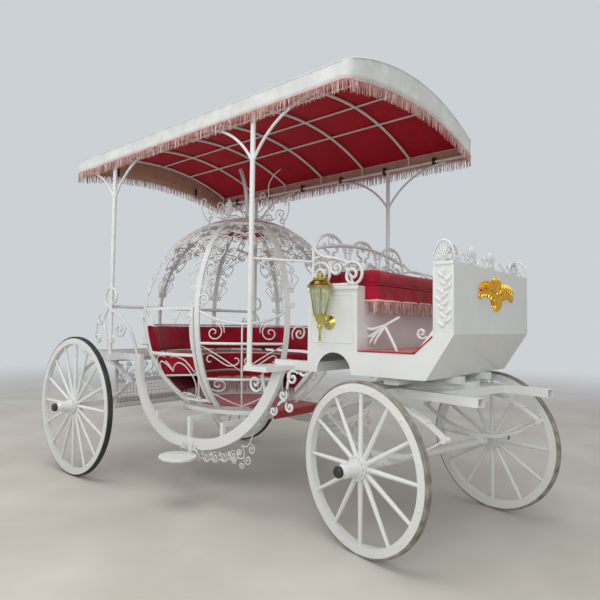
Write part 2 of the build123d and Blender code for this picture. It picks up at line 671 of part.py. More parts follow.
# ribs
rib_top = asin(CAP_R / CAGE_R) + CAP_SEAM / CAGE_R
rib_end = acos((FLOOR_TOP + SOFT_GAP - CAGE_Z) / (CAGE_R + RIB_DEPTH / 2))
rib_step = 360 / RIB_COUNT
for i in range(RIB_COUNT):
    azimuth = rib_step * (i + 0.5)
    out = Vector(cos(radians(azimuth)), sin(radians(azimuth)), 0)
    across = Vector(-sin(radians(azimuth)), cos(radians(azimuth)), 0)
    heart = Vector(CAGE_X, 0, CAGE_Z)
    start = heart + out * (CAGE_R * sin(rib_top)) + Vector(0, 0, CAGE_R * cos(rib_top))
    along = out * cos(rib_top) - Vector(0, 0, sin(rib_top))
    with BuildPart() as rib:
        with BuildSketch(Plane(origin=start, x_dir=across, z_dir=along)):
            Rectangle(RIB_WIDTH, RIB_DEPTH)
        revolve(axis=Axis(heart, across), revolution_arc=degrees(rib_end - rib_top))
        if i == HINGE_RIB:
            lug_offset = HINGE_BARREL_LENGTH / 2 + LUG_GAP + LUG_THICKNESS / 2
            for z in HINGE_HEIGHTS:
                foot = cage_radius(z, -RIB_DEPTH / 4)
                arm_r = hinge_r - HINGE_BARREL_R + LUG_LAP
                for lug in (-1, 1):
                    low = z + lug * lug_offset - LUG_THICKNESS / 2
                    with BuildSketch(Plane(origin=(CAGE_X, 0, low), x_dir=out, z_dir=UP)):
                        with Locations(((foot + arm_r) / 2, RIB_WIDTH / 4)):
                            Rectangle(arm_r - foot, RIB_WIDTH / 2)
                        with Locations((hinge_r, hinge_t / 2)):
                            Rectangle(2 * HINGE_BARREL_R, hinge_t)
                        with Locations((hinge_r, hinge_t)):
                            Circle(HINGE_BARREL_R)
                    extrude(amount=LUG_THICKNESS)
                pin = heart + out * hinge_r + across * hinge_t
                reach = HINGE_BARREL_LENGTH / 2 + LUG_GAP + LUG_THICKNESS
                rod((pin.X, pin.Y, z - reach), (pin.X, pin.Y, z + reach), HINGE_PIN_R)
    save(rib.part, f"rib_{i + 1}")

# dome cap and stem
with BuildPart() as cage_cap:
    with BuildSketch(Plane(origin=(CAGE_X, 0, CAGE_Z), x_dir=(1, 0, 0), z_dir=(0, -1, 0))):
        with BuildLine():
            low_r, high_r = CAGE_R - CAP_THICKNESS / 2, CAGE_R + CAP_THICKNESS / 2
            turn = asin(CAP_R / CAGE_R)
            Line((0, low_r), (0, high_r))
            ThreePointArc((0, high_r), (high_r * sin(turn / 2), high_r * cos(turn / 2)),
                          (high_r * sin(turn), high_r * cos(turn)))
            Line((high_r * sin(turn), high_r * cos(turn)), (low_r * sin(turn), low_r * cos(turn)))
            ThreePointArc((low_r * sin(turn), low_r * cos(turn)),
                          (low_r * sin(turn / 2), low_r * cos(turn / 2)), (0, low_r))
        make_face()
    revolve(axis=Axis((CAGE_X, 0, CAGE_Z), UP))
save(cage_cap.part, "cage_cap")

cap_top = CAGE_Z + CAGE_R + CAP_THICKNESS / 2
with BuildPart() as stem:
    with BuildSketch(Plane.XY.offset(cap_top)):
        with Locations((CAGE_X, 0)):
            Circle(STEM_FOOT_R)
    extrude(amount=STEM_FOOT_HEIGHT)
    foot_z = cap_top + STEM_FOOT_HEIGHT / 2
    bent_rod((CAGE_X, 0, foot_z), (CAGE_X - STEM_MID_LEAN, 0, foot_z + STEM_MID_HEIGHT),
             (CAGE_X - STEM_LEAN, 0, foot_z + STEM_HEIGHT), STEM_R)
save(stem.part, "cage_stem")

# fixed quarter panels beside the driver's box
inner_gap = RIB_WIDTH / 2 + 2 * SOFT_GAP
for side_name, side in SIDES:
    with BuildPart() as quarter:
        rear_az, front_az = side * rib_step * 1.5, side * rib_step * 0.5
        middle_az = side * rib_step
        for z in (UPPER_BAR_Z, LOWER_BAR_Z):
            trim = degrees(asin(inner_gap / cage_radius(z)))
            bent_rod(cage_point(rear_az - side * trim, z), cage_point(middle_az, z),
                     cage_point(front_az + side * trim, z), BAR_R)
        trim = degrees(asin((inner_gap + BAR_R / 2) / cage_radius(SWAG_END_Z)))
        bent_rod(cage_point(rear_az - side * trim, SWAG_END_Z), cage_point(middle_az, SWAG_END_Z - SWAG_DROP),
                 cage_point(front_az + side * trim, SWAG_END_Z), BAR_R)
        bent_rod(cage_point(middle_az, SWAG_END_Z - SWAG_DROP), cage_point(middle_az, UPPER_BAR_Z),
                 cage_point(middle_az, FLOOR_TOP + MIDDLE_BAR_R), MIDDLE_BAR_R)
    save(quarter.part, f"quarter_{side_name}")

# door on the right, hinged to the rib behind it
door_az = degrees(atan2(-1, 0))
stile_off = RIB_WIDTH / 2 + DOOR_GAP + DOOR_FRAME / 2
with BuildPart() as door:
    for end in (-1, 1):
        azimuth = radians(door_az + end * rib_step / 2)
        out = Vector(cos(azimuth), sin(azimuth), 0)
        across = Vector(-sin(azimuth), cos(azimuth), 0)
        hub = Vector(CAGE_X, 0, CAGE_Z) - across * (end * stile_off)
        arc_r = sqrt(CAGE_R ** 2 - stile_off ** 2)
        top = acos((DOOR_TOP - CAGE_Z) / arc_r)
        low = acos((DOOR_BOTTOM - CAGE_Z) / arc_r)
        start = hub + out * (arc_r * sin(top)) + Vector(0, 0, arc_r * cos(top))
        with BuildSketch(Plane(origin=start, x_dir=across, z_dir=out * cos(top) - Vector(0, 0, sin(top)))):
            Rectangle(DOOR_FRAME, RIB_DEPTH)
        revolve(axis=Axis(hub, across), revolution_arc=degrees(low - top))
    for z in (DOOR_TOP - DOOR_FRAME / 2, DOOR_MID, DOOR_BOTTOM + DOOR_FRAME / 2):
        r = cage_radius(z)
        half = rib_step / 2 - degrees(asin(stile_off / r))
        begin = radians(door_az - half)
        out = Vector(cos(begin), sin(begin), 0)
        with BuildSketch(Plane(origin=Vector(CAGE_X, 0, z) + out * r, x_dir=out,
                               z_dir=Vector(-sin(begin), cos(begin), 0))):
            Rectangle(DOOR_BAR_DEPTH, DOOR_FRAME)
        revolve(axis=Axis((CAGE_X, 0, z), UP), revolution_arc=2 * half)
    azimuth = radians(door_az - rib_step / 2)
    out = Vector(cos(azimuth), sin(azimuth), 0)
    across = Vector(-sin(azimuth), cos(azimuth), 0)
    pin = Vector(CAGE_X, 0, 0) + out * hinge_r + across * hinge_t
    for z in HINGE_HEIGHTS:
        foot = cage_radius(z)
        with BuildSketch(Plane(origin=(CAGE_X, 0, z - HINGE_BARREL_LENGTH / 2), x_dir=out, z_dir=UP)):
            with Locations((hinge_r, hinge_t)):
                Circle(HINGE_BARREL_R)
            with Locations(((foot + hinge_r) / 2, stile_off)):
                Rectangle(hinge_r - foot + 2 * LEAF_PLATE, LEAF_PLATE_WIDTH)
            with Locations((hinge_r, (hinge_t + stile_off) / 2)):
                Rectangle(2 * LEAF_PLATE, stile_off - hinge_t)
        extrude(amount=HINGE_BARREL_LENGTH)
        with BuildSketch(Plane(origin=(pin.X, pin.Y, z - HINGE_BARREL_LENGTH / 2), z_dir=UP)):
            Circle(HINGE_PIN_R + HINGE_CLEARANCE)
        extrude(amount=HINGE_BARREL_LENGTH, mode=Mode.SUBTRACT)
save(door.part, "door_right")

# bench round the back of the cage
def bench_outer(z):
    """Outer radius that the bench may reach at a height, inside the ribs."""
    return cage_radius(z, -RIB_DEPTH / 2) - CAGE_CLEARANCE


bench_start = Vector(cos(radians(BENCH_START)), sin(radians(BENCH_START)), 0)
bench_plane = Plane(origin=(CAGE_X, 0, 0), x_dir=bench_start,
                    z_dir=Vector(sin(radians(BENCH_START)), -cos(radians(BENCH_START)), 0))
upright = Axis((CAGE_X, 0, 0), UP)
cushion_low = SEAT_TOP - SEAT_THICKNESS
board_top = cushion_low - SOFT_GAP
board_low = board_top - BOARD_THICKNESS
riser_r = BENCH_INNER_R + RISER_SETBACK
back_foot = bench_outer(SEAT_TOP)
back_head = bench_outer(BENCH_BACK_TOP)
BENCH = (
    # name, profile of (distance from the upright axis, height)
    ("bench_base", ((riser_r, FLOOR_TOP), (riser_r + BOARD_THICKNESS, FLOOR_TOP),
                    (riser_r + BOARD_THICKNESS, board_low), (bench_outer(board_low), board_low),
                    (bench_outer(board_low), board_top), (riser_r, board_top))),
    ("bench_cushion", ((BENCH_INNER_R, cushion_low), (bench_outer(cushion_low), cushion_low),
                       (back_foot, SEAT_TOP), (BENCH_INNER_R, SEAT_TOP))),
    ("bench_back", ((back_foot - BENCH_BACK_THICKNESS, SEAT_TOP + SOFT_GAP),
                    (back_foot, SEAT_TOP + SOFT_GAP), (back_head, BENCH_BACK_TOP),
                    (back_head - BENCH_BACK_THICKNESS, BENCH_BACK_TOP))),
)
for name, outline in BENCH:
    with BuildPart() as bench:
        with BuildSketch(bench_plane):
            with BuildLine():
                Polyline(*outline, close=True)
            make_face()
        revolve(axis=upright, revolution_arc=BENCH_SWEEP)
    save(bench.part, name)

# driver's box of sheet metal
outline = ((BOX_BACK, BOX_BOTTOM), (BOX_BACK, SEAT_LEDGE), (SEAT_FRONT, SEAT_LEDGE),
           (SEAT_FRONT, FOOT_FLOOR), (FOOT_FRONT, FOOT_FLOOR), (WING_BACK, WING_BOTTOM),
           (WING_BACK, DASH_TOP), (DASH_FRONT, DASH_TOP), (DASH_FRONT, DASH_BOTTOM),
           (BOX_FRONT, BOX_BOTTOM))
with BuildPart() as driver_box:
    with BuildSketch(Plane.XZ.offset(-BOX_HALF)):
        with BuildLine():
            Polyline(*outline, close=True)
        make_face()
    extrude(amount=2 * BOX_HALF)
    with BuildSketch(Plane.XZ.offset(-inside)):
        with BuildLine():
            Polyline(*outline, close=True)
        make_face()
        offset(amount=-BOX_SHEET, kind=Kind.INTERSECTION)
    extrude(amount=2 * inside, mode=Mode.SUBTRACT)
    with BuildSketch(Plane.XY.offset(BOX_BOTTOM)):
        with Locations(((BOX_BACK + BOX_FRONT - BOX_SHEET) / 2, 0)):
            Rectangle(BOX_FRONT - BOX_SHEET - BOX_BACK, 2 * inside)
    extrude(amount=BOX_RAIL + SOFT_GAP, mode=Mode.SUBTRACT)
    with BuildSketch(Plane.XZ.offset(-BOX_HALF)):
        with Locations((arch_x, BOX_BOTTOM)):
            Circle(ARCH_R)
    extrude(amount=2 * BOX_HALF, mode=Mode.SUBTRACT)
save(driver_box.part, "driver_box")

with BuildPart() as driver_cushion:
    block((BOX_BACK + CUSHION_SETBACK, DRIVER_CUSHION_FRONT), (-DRIVER_CUSHION_HALF, DRIVER_CUSHION_HALF),
          (SEAT_LEDGE + SOFT_GAP, SEAT_LEDGE + DRIVER_CUSHION))
save(driver_cushion.part, "driver_cushion")

back_x = BOX_BACK + RAIL_TUBE_R
rail_y = BOX_HALF - 2 * RAIL_TUBE_R
rail_foot = SEAT_LEDGE + SOFT_GAP + RAIL_TUBE_R
rail_crown = SEAT_LEDGE + RAIL_HEIGHT
rail_shoulder = rail_crown - RAIL_ARCH
arm_end = SEAT_FRONT - 2 * RAIL_TUBE_R
post_y = rail_y - RAIL_TUBE_R
with BuildPart() as driver_rail:
    bent_rod((back_x, -rail_y, rail_shoulder), (back_x, 0, rail_crown), (back_x, rail_y, rail_shoulder),
             RAIL_TUBE_R)
    rod((back_x, -rail_y, rail_foot), (back_x, rail_y, rail_foot), RAIL_TUBE_R)
    for side_name, side in SIDES:
        rod((back_x, side * post_y, rail_foot), (back_x, side * post_y, rail_shoulder), RAIL_POST_R)
        rod((back_x, side * post_y, rail_foot), (arm_end, side * post_y, rail_foot), RAIL_SIDE_R)
        bent_rod((back_x, side * post_y, rail_shoulder - ARM_DROP),
                 (ARM_MID_X, side * post_y, rail_shoulder - ARM_MID_DROP),
                 (arm_end - ARM_SETBACK, side * post_y, rail_foot), RAIL_ARM_R)
        for reach in LOOP_PLACES:
            bent_rod((back_x, side * rail_y * (reach - LOOP_HALF), rail_foot),
                     (back_x, side * rail_y * reach, rail_shoulder - LOOP_DROP),
                     (back_x, side * rail_y * (reach + LOOP_HALF), rail_foot), LOOP_TUBE_R)
save(driver_rail.part, "driver_rail")

# scrolled cresting along the top of the dash
crest_x = (WING_BACK + DASH_FRONT) / 2
with BuildPart() as dash_crest:
    pitch = 2 * rail_y / CREST_ARCHES
    for i in range(CREST_ARCHES):
        y = -rail_y + pitch * (i + 0.5)
        rise = CREST_END_RISE if i in (0, CREST_ARCHES - 1) else CREST_RISE
        bent_rod((crest_x, y - pitch / 2, DASH_TOP + CREST_BAR_R), (crest_x, y, DASH_TOP + rise),
                 (crest_x, y + pitch / 2, DASH_TOP + CREST_BAR_R), CREST_BAR_R)
    rod((crest_x, -rail_y, DASH_TOP + CREST_BAR_R), (crest_x, rail_y, DASH_TOP + CREST_BAR_R), CREST_BAR_R)
save(dash_crest.part, "dash_crest")

# brake lever and foot pedal
with BuildPart() as brake_lever:
    rod((LEVER_X, -LEVER_Y, FOOT_FLOOR), (LEVER_X, -LEVER_Y, LEVER_PIVOT_Z), LEVER_R)
    rod((LEVER_X, -LEVER_Y, LEVER_PIVOT_Z), (SEAT_FRONT + LEVER_RAKE, -LEVER_Y, LEVER_GRIP_Z), LEVER_R)
    with BuildSketch(Plane.XY.offset(FOOT_FLOOR)):
        with Locations((LEVER_X, -LEVER_Y)):
            Rectangle(*LEVER_FOOT)
    extrude(amount=LEVER_R)
save(brake_lever.part, "brake_lever")

# carriage lamps
lamp_x = BOX_BACK + LAMP_SETBACK
lamp_y = BOX_HALF + LAMP_ARM_LENGTH
for side_name, side in SIDES:
    with BuildPart() as lamp:
        with BuildSketch(Plane(origin=(lamp_x, side * lamp_y, 0), x_dir=(1, 0, 0), z_dir=(0, -1, 0))):
            with BuildLine():
                Polyline(*LAMP_PROFILE, close=True)
            make_face()
        revolve(axis=Axis((lamp_x, side * lamp_y, 0), UP))
        rod((lamp_x, side * BOX_HALF, LAMP_BOSS_Z), (lamp_x, side * lamp_y, LAMP_BOSS_Z), LAMP_ARM_R)
        rod((lamp_x, side * BOX_HALF, LAMP_BOSS_Z),
            (lamp_x, side * (BOX_HALF + LAMP_PLATE_THICKNESS), LAMP_BOSS_Z), LAMP_PLATE_R)
    save(lamp.part, f"lamp_{side_name}")

# canopy
roof_r = (CANOPY_HALF ** 2 + CANOPY_RISE ** 2) / (2 * CANOPY_RISE)
roof_heart = CANOPY_CROWN - roof_r


def roof_form(skin, low):
    """The roof's closed form, a skin's thickness inside its outer face, from a height up."""
    half, crown, length = CANOPY_HALF - skin, CANOPY_CROWN - skin, canopy_length - 2 * skin
    edge = roof_heart + sqrt((crown - roof_heart) ** 2 - half ** 2)
    with BuildPart() as form:
        with BuildSketch(Plane.YZ.offset(CANOPY_BACK + skin)):
            with BuildLine():
                Line((-half, low), (half, low))
                Line((half, low), (half, edge))
                ThreePointArc((half, edge), (0, crown), (-half, edge))
                Line((-half, edge), (-half, low))
            make_face()
        extrude(amount=length)
        fillet(form.edges().filter_by(Axis.Z), radius=CANOPY_CORNER - skin)
    return form.part


canopy_length = CANOPY_FRONT - CANOPY_BACK
roof_outside = roof_form(0, canopy_edge)
roof_inside = roof_form(CANOPY_CLOTH, canopy_edge - CANOPY_CLOTH)
with BuildPart() as canopy:
    add(roof_outside)
    add(roof_inside, mode=Mode.SUBTRACT)
    with BuildSketch(Plane.YZ.offset(CANOPY_BACK)):
        half = CANOPY_HALF - CANOPY_CORNER - CANOPY_CLOTH
        with BuildLine():
            Line((-half, canopy_edge), (half, canopy_edge))
            ThreePointArc((half, canopy_edge), (0, canopy_edge + END_ARCH_RISE), (-half, canopy_edge))
        make_face()
    extrude(amount=canopy_length, mode=Mode.SUBTRACT)
save(canopy.part, "canopy")

rim_z = canopy_edge + RIM_HEIGHT
bow_r = roof_r - CANOPY_CLOTH - SOFT_GAP - BOW_TUBE_R
bow_end = roof_heart + sqrt(bow_r ** 2 - POST_Y ** 2)
rim_back = CANOPY_BACK + CANOPY_CLOTH + SOFT_GAP + CANOPY_CORNER / 2 + CANOPY_TUBE_R
rim_front = CANOPY_FRONT - CANOPY_CLOTH - SOFT_GAP - CANOPY_CORNER / 2 - CANOPY_TUBE_R
with BuildPart() as canopy_frame:
    for side_name, side in SIDES:
        rod((rim_back, side * POST_Y, rim_z), (rim_front, side * POST_Y, rim_z), CANOPY_TUBE_R)
        purlin_z = roof_heart + sqrt(bow_r ** 2 - PURLIN_Y ** 2)
        rod((rim_back, side * PURLIN_Y, purlin_z), (rim_front, side * PURLIN_Y, purlin_z), PURLIN_R)
    bow_first = rim_back + BOW_INSET
    bow_pitch = (rim_front - rim_back - 2 * BOW_INSET) / (BOW_COUNT - 1)
    for i in range(BOW_COUNT):
        x = bow_first + bow_pitch * i
        bent_rod((x, -POST_Y, bow_end), (x, 0, roof_heart + bow_r), (x, POST_Y, bow_end), BOW_TUBE_R)
        for side_name, side in SIDES:
            rod((x, side * POST_Y, rim_z), (x, side * POST_Y, bow_end), UPRIGHT_R)
save(canopy_frame.part, "canopy_frame")

# posts with two curved braces each
POSTS = (
    # name, x, foot
    ("post_rear", POST_X_REAR, REAR_RAIL_TOP),
    ("post_front", POST_X_FRONT, BOX_BOTTOM + OUTRIGGER_THICKNESS),
)
rim_under = rim_z - CANOPY_TUBE_R - SOFT_GAP
for name, post_x, foot in POSTS:
    for side_name, side in SIDES:
        with BuildPart() as post:
            rod((post_x, side * POST_Y, foot), (post_x, side * POST_Y, rim_under), POST_R)
            rod((post_x, side * POST_Y, foot), (post_x, side * POST_Y, foot + POST_FLANGE),
                POST_R + POST_FOOT_RIM)
            for turn in (-1, 1):
                bent_rod((post_x + turn * (POST_R - BRACE_R), side * POST_Y, rim_under - BRACE_DROP),
                         (post_x + turn * BRACE_MID_REACH, side * POST_Y, rim_under - BRACE_MID_DROP),
                         (post_x + turn * BRACE_REACH, side * POST_Y, rim_under - BRACE_R), BRACE_R)
        save(post.part, f"{name}_{side_name}")

with BuildPart() as rear_rail:
    half = POST_Y - POST_R - SOFT_GAP
    rod((POST_X_REAR, -half, REAR_GRIP_Z), (POST_X_REAR, half, REAR_GRIP_Z), REAR_GRIP_R)
save(rear_rail.part, "rear_rail")
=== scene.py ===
"""Dresses the pumpkin carriage: enamel, upholstery, canopy, scrollwork, lamps and gilding.

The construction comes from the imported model; everything here rides on one of its bodies.
Metres. +X forward, +Y to the carriage's left, +Z up. Places are given from the ground under the
rear axle and moved to the model's origin as each piece is finished.
"""

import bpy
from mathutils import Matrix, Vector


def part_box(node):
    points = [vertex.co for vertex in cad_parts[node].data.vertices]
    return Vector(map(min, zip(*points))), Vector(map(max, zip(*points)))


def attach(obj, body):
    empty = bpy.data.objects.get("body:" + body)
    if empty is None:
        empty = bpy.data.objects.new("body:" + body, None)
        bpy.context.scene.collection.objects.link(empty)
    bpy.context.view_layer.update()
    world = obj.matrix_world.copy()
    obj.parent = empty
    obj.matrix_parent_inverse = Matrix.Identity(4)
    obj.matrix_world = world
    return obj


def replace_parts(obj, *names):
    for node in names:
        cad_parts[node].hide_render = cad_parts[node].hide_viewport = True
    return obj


bl_info = {
    "name": "Pumpkin carriage dressing",
    "version": (1, 0, 0),
    "blender": (4, 5, 0),
    "location": "3D View > Sidebar > Carriage",
    "description": "Finishes, soft goods and scrollwork of a pumpkin carriage",
    "category": "Object",
}

from functools import wraps
from math import atan2, ceil, copysign, cos, hypot, pi, radians, sin, sqrt, tau
import random

import bmesh
import bpy
from bpy.props import FloatProperty, FloatVectorProperty, IntProperty, PointerProperty
from mathutils import Matrix, Vector, noise

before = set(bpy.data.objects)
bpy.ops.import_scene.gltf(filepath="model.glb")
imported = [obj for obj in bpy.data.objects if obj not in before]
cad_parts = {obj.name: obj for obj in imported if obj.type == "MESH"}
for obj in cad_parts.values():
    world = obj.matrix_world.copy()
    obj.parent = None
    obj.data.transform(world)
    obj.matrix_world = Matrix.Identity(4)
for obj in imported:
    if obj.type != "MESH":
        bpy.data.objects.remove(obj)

MM = 0.001
SIDES = {"right": -1, "left": 1}
UP = Vector((0.0, 0.0, 1.0))
CAGE = Vector((1.0, 0.0, 1.27))
CAGE_AXIS = (CAGE.x, 0.0, 0.0)
CAGE_R = 0.8
RIBS = 8
CARRIAGE = "carriage"
DOOR = "door_body"
REAR_AXLE = Vector((-1.367443, 0.0, 0.0))
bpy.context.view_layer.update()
SHARP_EDGE = radians(40.0)


def linear(code):
    """The linear colour of an sRGB hex code."""
    parts = [int(code[i:i + 2], 16) / 255 for i in (0, 2, 4)]
    return tuple(c / 12.92 if c <= 0.04045 else ((c + 0.055) / 1.055) ** 2.4 for c in parts)


def colour_property(name, code, description):
    """A colour that a user may change, with its default from an sRGB hex code."""
    return FloatVectorProperty(name=name, description=description, subtype="COLOR", size=3,
                               min=0.0, max=1.0, default=linear(code))


def length_property(name, millimetres, description):
    """A length that a user may change, with its default in millimetres."""
    return FloatProperty(name=name, description=description, subtype="DISTANCE", unit="LENGTH",
                         min=0.0, default=millimetres * MM)


class CarriageColours(bpy.types.PropertyGroup):
    """Colours of the carriage's finishes."""

    enamel: colour_property("Enamel", "E4E6E4", "White enamel on all steelwork")
    canopy: colour_property("Canopy", "DDDFDD", "Outside of the coated canopy cloth")
    lining: colour_property("Lining", "AE0A24", "Underside of the canopy")
    upholstery: colour_property("Upholstery", "A00A26", "Red cloth of the cushions")
    piping: colour_property("Piping", "DDB2AC", "Piping and fringe")
    carpet: colour_property("Carpet", "B00F1C", "Carpet on the cage floor")
    brass: colour_property("Brass", "D6CB73", "Polished brass of the lamps")
    gilt: colour_property("Gilt", "FFC548", "Gilt ornament on the dash")


class CarriageSizes(bpy.types.PropertyGroup):
    """Sizes of the carriage's trim."""

    scroll_bar: length_property("Scroll bar", 4.6, "Radius of the scrollwork's bars")
    fine_bar: length_property("Fine bar", 3.2, "Radius of the filigree's thin bars")
    fringe: length_property("Fringe", 72.0, "Length of the canopy's fringe")
    strand: length_property("Strand", 2.9, "Radius of a fringe strand at its top")
    strand_pitch: length_property("Strand pitch", 6.5, "Distance between fringe strands")
    piping: length_property("Piping", 7.0, "Radius of the cushions' piping")
    lamp_bars: IntProperty(name="Lamp bars", description="Brass bars round each lamp glass",
                           min=4, max=24, default=10)


def add_node(tree, kind, settings=None, values=None, links=None, stops=()):
    """Adds a node, sets it up, links its inputs from other nodes' outputs and lays out its colour
    stops, which are (position, colour)."""
    node = tree.nodes.new(kind)
    for key, value in (settings or {}).items():
        setattr(node, key, value)
    set_inputs(node, values or {})
    for key, source in (links or {}).items():
        tree.links.new(source, node.inputs[key])
    if stops:
        band = node.color_ramp.elements
        while len(band) < len(stops):
            band.new(0.5)
        for element, (position, colour) in zip(band, stops):
            element.position = position
            element.color = (*colour, 1.0)
    return node


def set_inputs(node, values):
    """Sets a node's unlinked inputs."""
    for key, value in values.items():
        node.inputs[key].default_value = value


def shade(colour, factor):
    """A darker or lighter tone of a colour."""
    return tuple(min(1.0, c * factor) for c in colour)


def chosen(colour):
    """The colour of that name as the user has it."""
    return tuple(getattr(bpy.context.scene.carriage_colours, colour))


def finish(name):
    """Turns a function that lays out a finish's nodes into one that makes the material once."""
    def wrap(lay_out):
        @wraps(lay_out)
        def material():
            made = bpy.data.materials.get(name)
            if made is None:
                made = bpy.data.materials.new(name)
                made.use_nodes = True
                tree = made.node_tree
                tree.nodes.clear()
                surface = add_node(tree, "ShaderNodeBsdfPrincipled")
                add_node(tree, "ShaderNodeOutputMaterial", links={"Surface": surface.outputs["BSDF"]})
                lay_out(tree, surface, add_node(tree, "ShaderNodeTexCoord").outputs["Object"])
            return made
        return material
    return wrap


def grain(tree, place, size_mm, detail, roughness=0.5):
    """Noise whose patches are about the given size in millimetres."""
    node = add_node(tree, "ShaderNodeTexNoise",
                    values={"Scale": 1.0 / (size_mm * MM), "Detail": detail, "Roughness": roughness},
                    links={"Vector": place})
    return node.outputs["Fac"]


def toned(tree, source, low, high):
    """A colour that runs between two tones with a pattern."""
    return add_node(tree, "ShaderNodeValToRGB", links={"Fac": source},
                    stops=((0.35, low), (0.65, high))).outputs["Color"]


def tone(tree, surface, source, low, high):
    """Base colour that runs between two tones with a pattern."""
    tree.links.new(toned(tree, source, low, high), surface.inputs["Base Color"])


def gloss(tree, surface, source, low, high):
    """Roughness that runs between two values with a pattern."""
    node = add_node(tree, "ShaderNodeMapRange", values={"To Min": low, "To Max": high},
                    links={"Value": source})
    tree.links.new(node.outputs["Result"], surface.inputs["Roughness"])


def relief(tree, surface, source, depth_mm, strength):
    """Bump from a pattern, with its real depth in millimetres."""
    node = add_node(tree, "ShaderNodeBump", values={"Strength": strength, "Distance": depth_mm * MM},
                    links={"Height": source})
    tree.links.new(node.outputs["Normal"], surface.inputs["Normal"])


@finish("sprayed_white_enamel")
def enamel_white(tree, surface, place):
    """Gloss enamel sprayed over steel: a clean coat with faint orange peel and road dust low down."""
    base = chosen("enamel")
    height = add_node(tree, "ShaderNodeSeparateXYZ", links={"Vector": place}).outputs["Z"]
    dust = add_node(tree, "ShaderNodeMapRange",
                    values={"From Min": 0.05, "From Max": 0.8, "To Min": 0.55, "To Max": 0.0},
                    links={"Value": height}).outputs["Result"]
    cloud = grain(tree, place, 160.0, 4.0)
    patchy = add_node(tree, "ShaderNodeMath", {"operation": "MULTIPLY"},
                      links={0: dust, 1: cloud}).outputs["Value"]
    clean = add_node(tree, "ShaderNodeValToRGB", links={"Fac": cloud},
                     stops=((0.3, shade(base, 0.94)), (0.7, base))).outputs["Color"]
    mixed = add_node(tree, "ShaderNodeMix", {"data_type": "RGBA"}, {7: (*linear("B9B3A6"), 1.0)},
                     {0: patchy, 6: clean}).outputs[2]
    tree.links.new(mixed, surface.inputs["Base Color"])
    gloss(tree, surface, cloud, 0.26, 0.42)
    set_inputs(surface, {"Coat Weight": 0.25, "Coat Roughness": 0.12})
    # orange peel is about 2 mm across and is drawn at 5 mm so that it shows
    relief(tree, surface, grain(tree, place, 5.0, 1.0), 0.25, 0.25)


def cloth(tree, surface, place, colour, thread_mm, low, high, sheen, wrinkle_mm, roughness=(0.78, 0.92)):
    """Woven cloth: crossed threads, soft folds and a slightly uneven dye."""
    uneven = grain(tree, place, 90.0, 4.0)
    tone(tree, surface, uneven, shade(colour, low), shade(colour, high))
    gloss(tree, surface, uneven, *roughness)
    set_inputs(surface, {"Sheen Weight": sheen, "Sheen Roughness": 0.5, "Specular IOR Level": 0.25})
    threads = [add_node(tree, "ShaderNodeTexWave", {"bands_direction": direction, "wave_type": "BANDS"},
                        {"Scale": 1.0 / (thread_mm * MM * 6.28), "Distortion": 0.4},
                        {"Vector": place}).outputs["Fac"] for direction in ("X", "Y", "Z")]
    weave = threads[0]
    for thread in threads[1:]:
        weave = add_node(tree, "ShaderNodeMath", {"operation": "ADD"},
                         links={0: weave, 1: thread}).outputs["Value"]
    fold = grain(tree, place, 120.0, 2.0)
    fine = add_node(tree, "ShaderNodeBump", values={"Strength": 0.35, "Distance": 0.4 * MM},
                    links={"Height": weave})
    broad = add_node(tree, "ShaderNodeBump", values={"Strength": 0.6, "Distance": wrinkle_mm * MM},
                     links={"Height": fold, "Normal": fine.outputs["Normal"]})
    tree.links.new(broad.outputs["Normal"], surface.inputs["Normal"])


@finish("coated_canvas_white")
def canopy_outside(*shader):
    """PVC-coated canvas, white and a little weathered: low sheen, soft ripples, rain marks."""
    cloth(*shader, chosen("canopy"), 4.0, 0.9, 1.04, 0.08, 5.0, (0.5, 0.68))


@finish("cotton_lining_red")
def canopy_lining(*shader):
    """Dyed cotton lining, deep red, matt."""
    cloth(*shader, chosen("lining"), 4.0, 0.85, 1.1, 0.05, 4.0)


@finish("canvas_band_back")
def canopy_band_painted_shade(*shader):
    """Unlined back of the canopy's white hanging band, with painted shade and a painted pink tint of the
    light through it.
    """
    # the white canvas is painted darker and pinker here for the shade inside the canopy and the light through
    # the cloth
    cloth(*shader, linear("CBA693"), 4.0, 0.88, 1.06, 0.1, 3.0)


@finish("velour_red")
def upholstery_red(*shader):
    """Cotton velour, deep red: soft nap that lightens at grazing angles."""
    cloth(*shader, chosen("upholstery"), 3.0, 0.72, 1.15, 0.15, 2.5)


@finish("rayon_cord_pink")
def piping_pink(*shader):
    """Twisted rayon cord, pale pink: catches light on each strand."""
    cloth(*shader, chosen("piping"), 6.0, 0.78, 1.05, 0.2, 1.0, (0.5, 0.7))


@finish("rayon_fringe")
def fringe_yarn(tree, surface, place):
    """Rayon bullion fringe: each strand a different mix of white, pink and red."""
    # a strand keeps one tone down its length, so the pattern is drawn out upright
    long = add_node(tree, "ShaderNodeMapping", values={"Scale": (1.0, 1.0, 0.06)}, links={"Vector": place})
    strand = grain(tree, long.outputs["Vector"], 13.0, 2.0, 0.7)
    mixed = add_node(tree, "ShaderNodeValToRGB", links={"Fac": strand},
                     stops=((0.34, linear("7A3F3C")), (0.45, linear("A87A71")),
                            (0.56, shade(chosen("piping"), 0.82)), (0.70, linear("EADBD2"))))
    tree.links.new(mixed.outputs["Color"], surface.inputs["Base Color"])
    gloss(tree, surface, strand, 0.55, 0.8)
    set_inputs(surface, {"Sheen Weight": 0.25})


@finish("tufted_carpet_red")
def carpet_red(tree, surface, place):
    """Tufted nylon carpet, bright red: short dense pile."""
    base = chosen("carpet")
    # tufts are about 3 mm apart and are drawn at 7 mm so that they show
    pile = grain(tree, place, 7.0, 3.0, 0.7)
    tone(tree, surface, pile, shade(base, 0.6), shade(base, 1.25))
    gloss(tree, surface, pile, 0.88, 0.98)
    set_inputs(surface, {"Sheen Weight": 0.35})
    relief(tree, surface, pile, 4.0, 0.9)


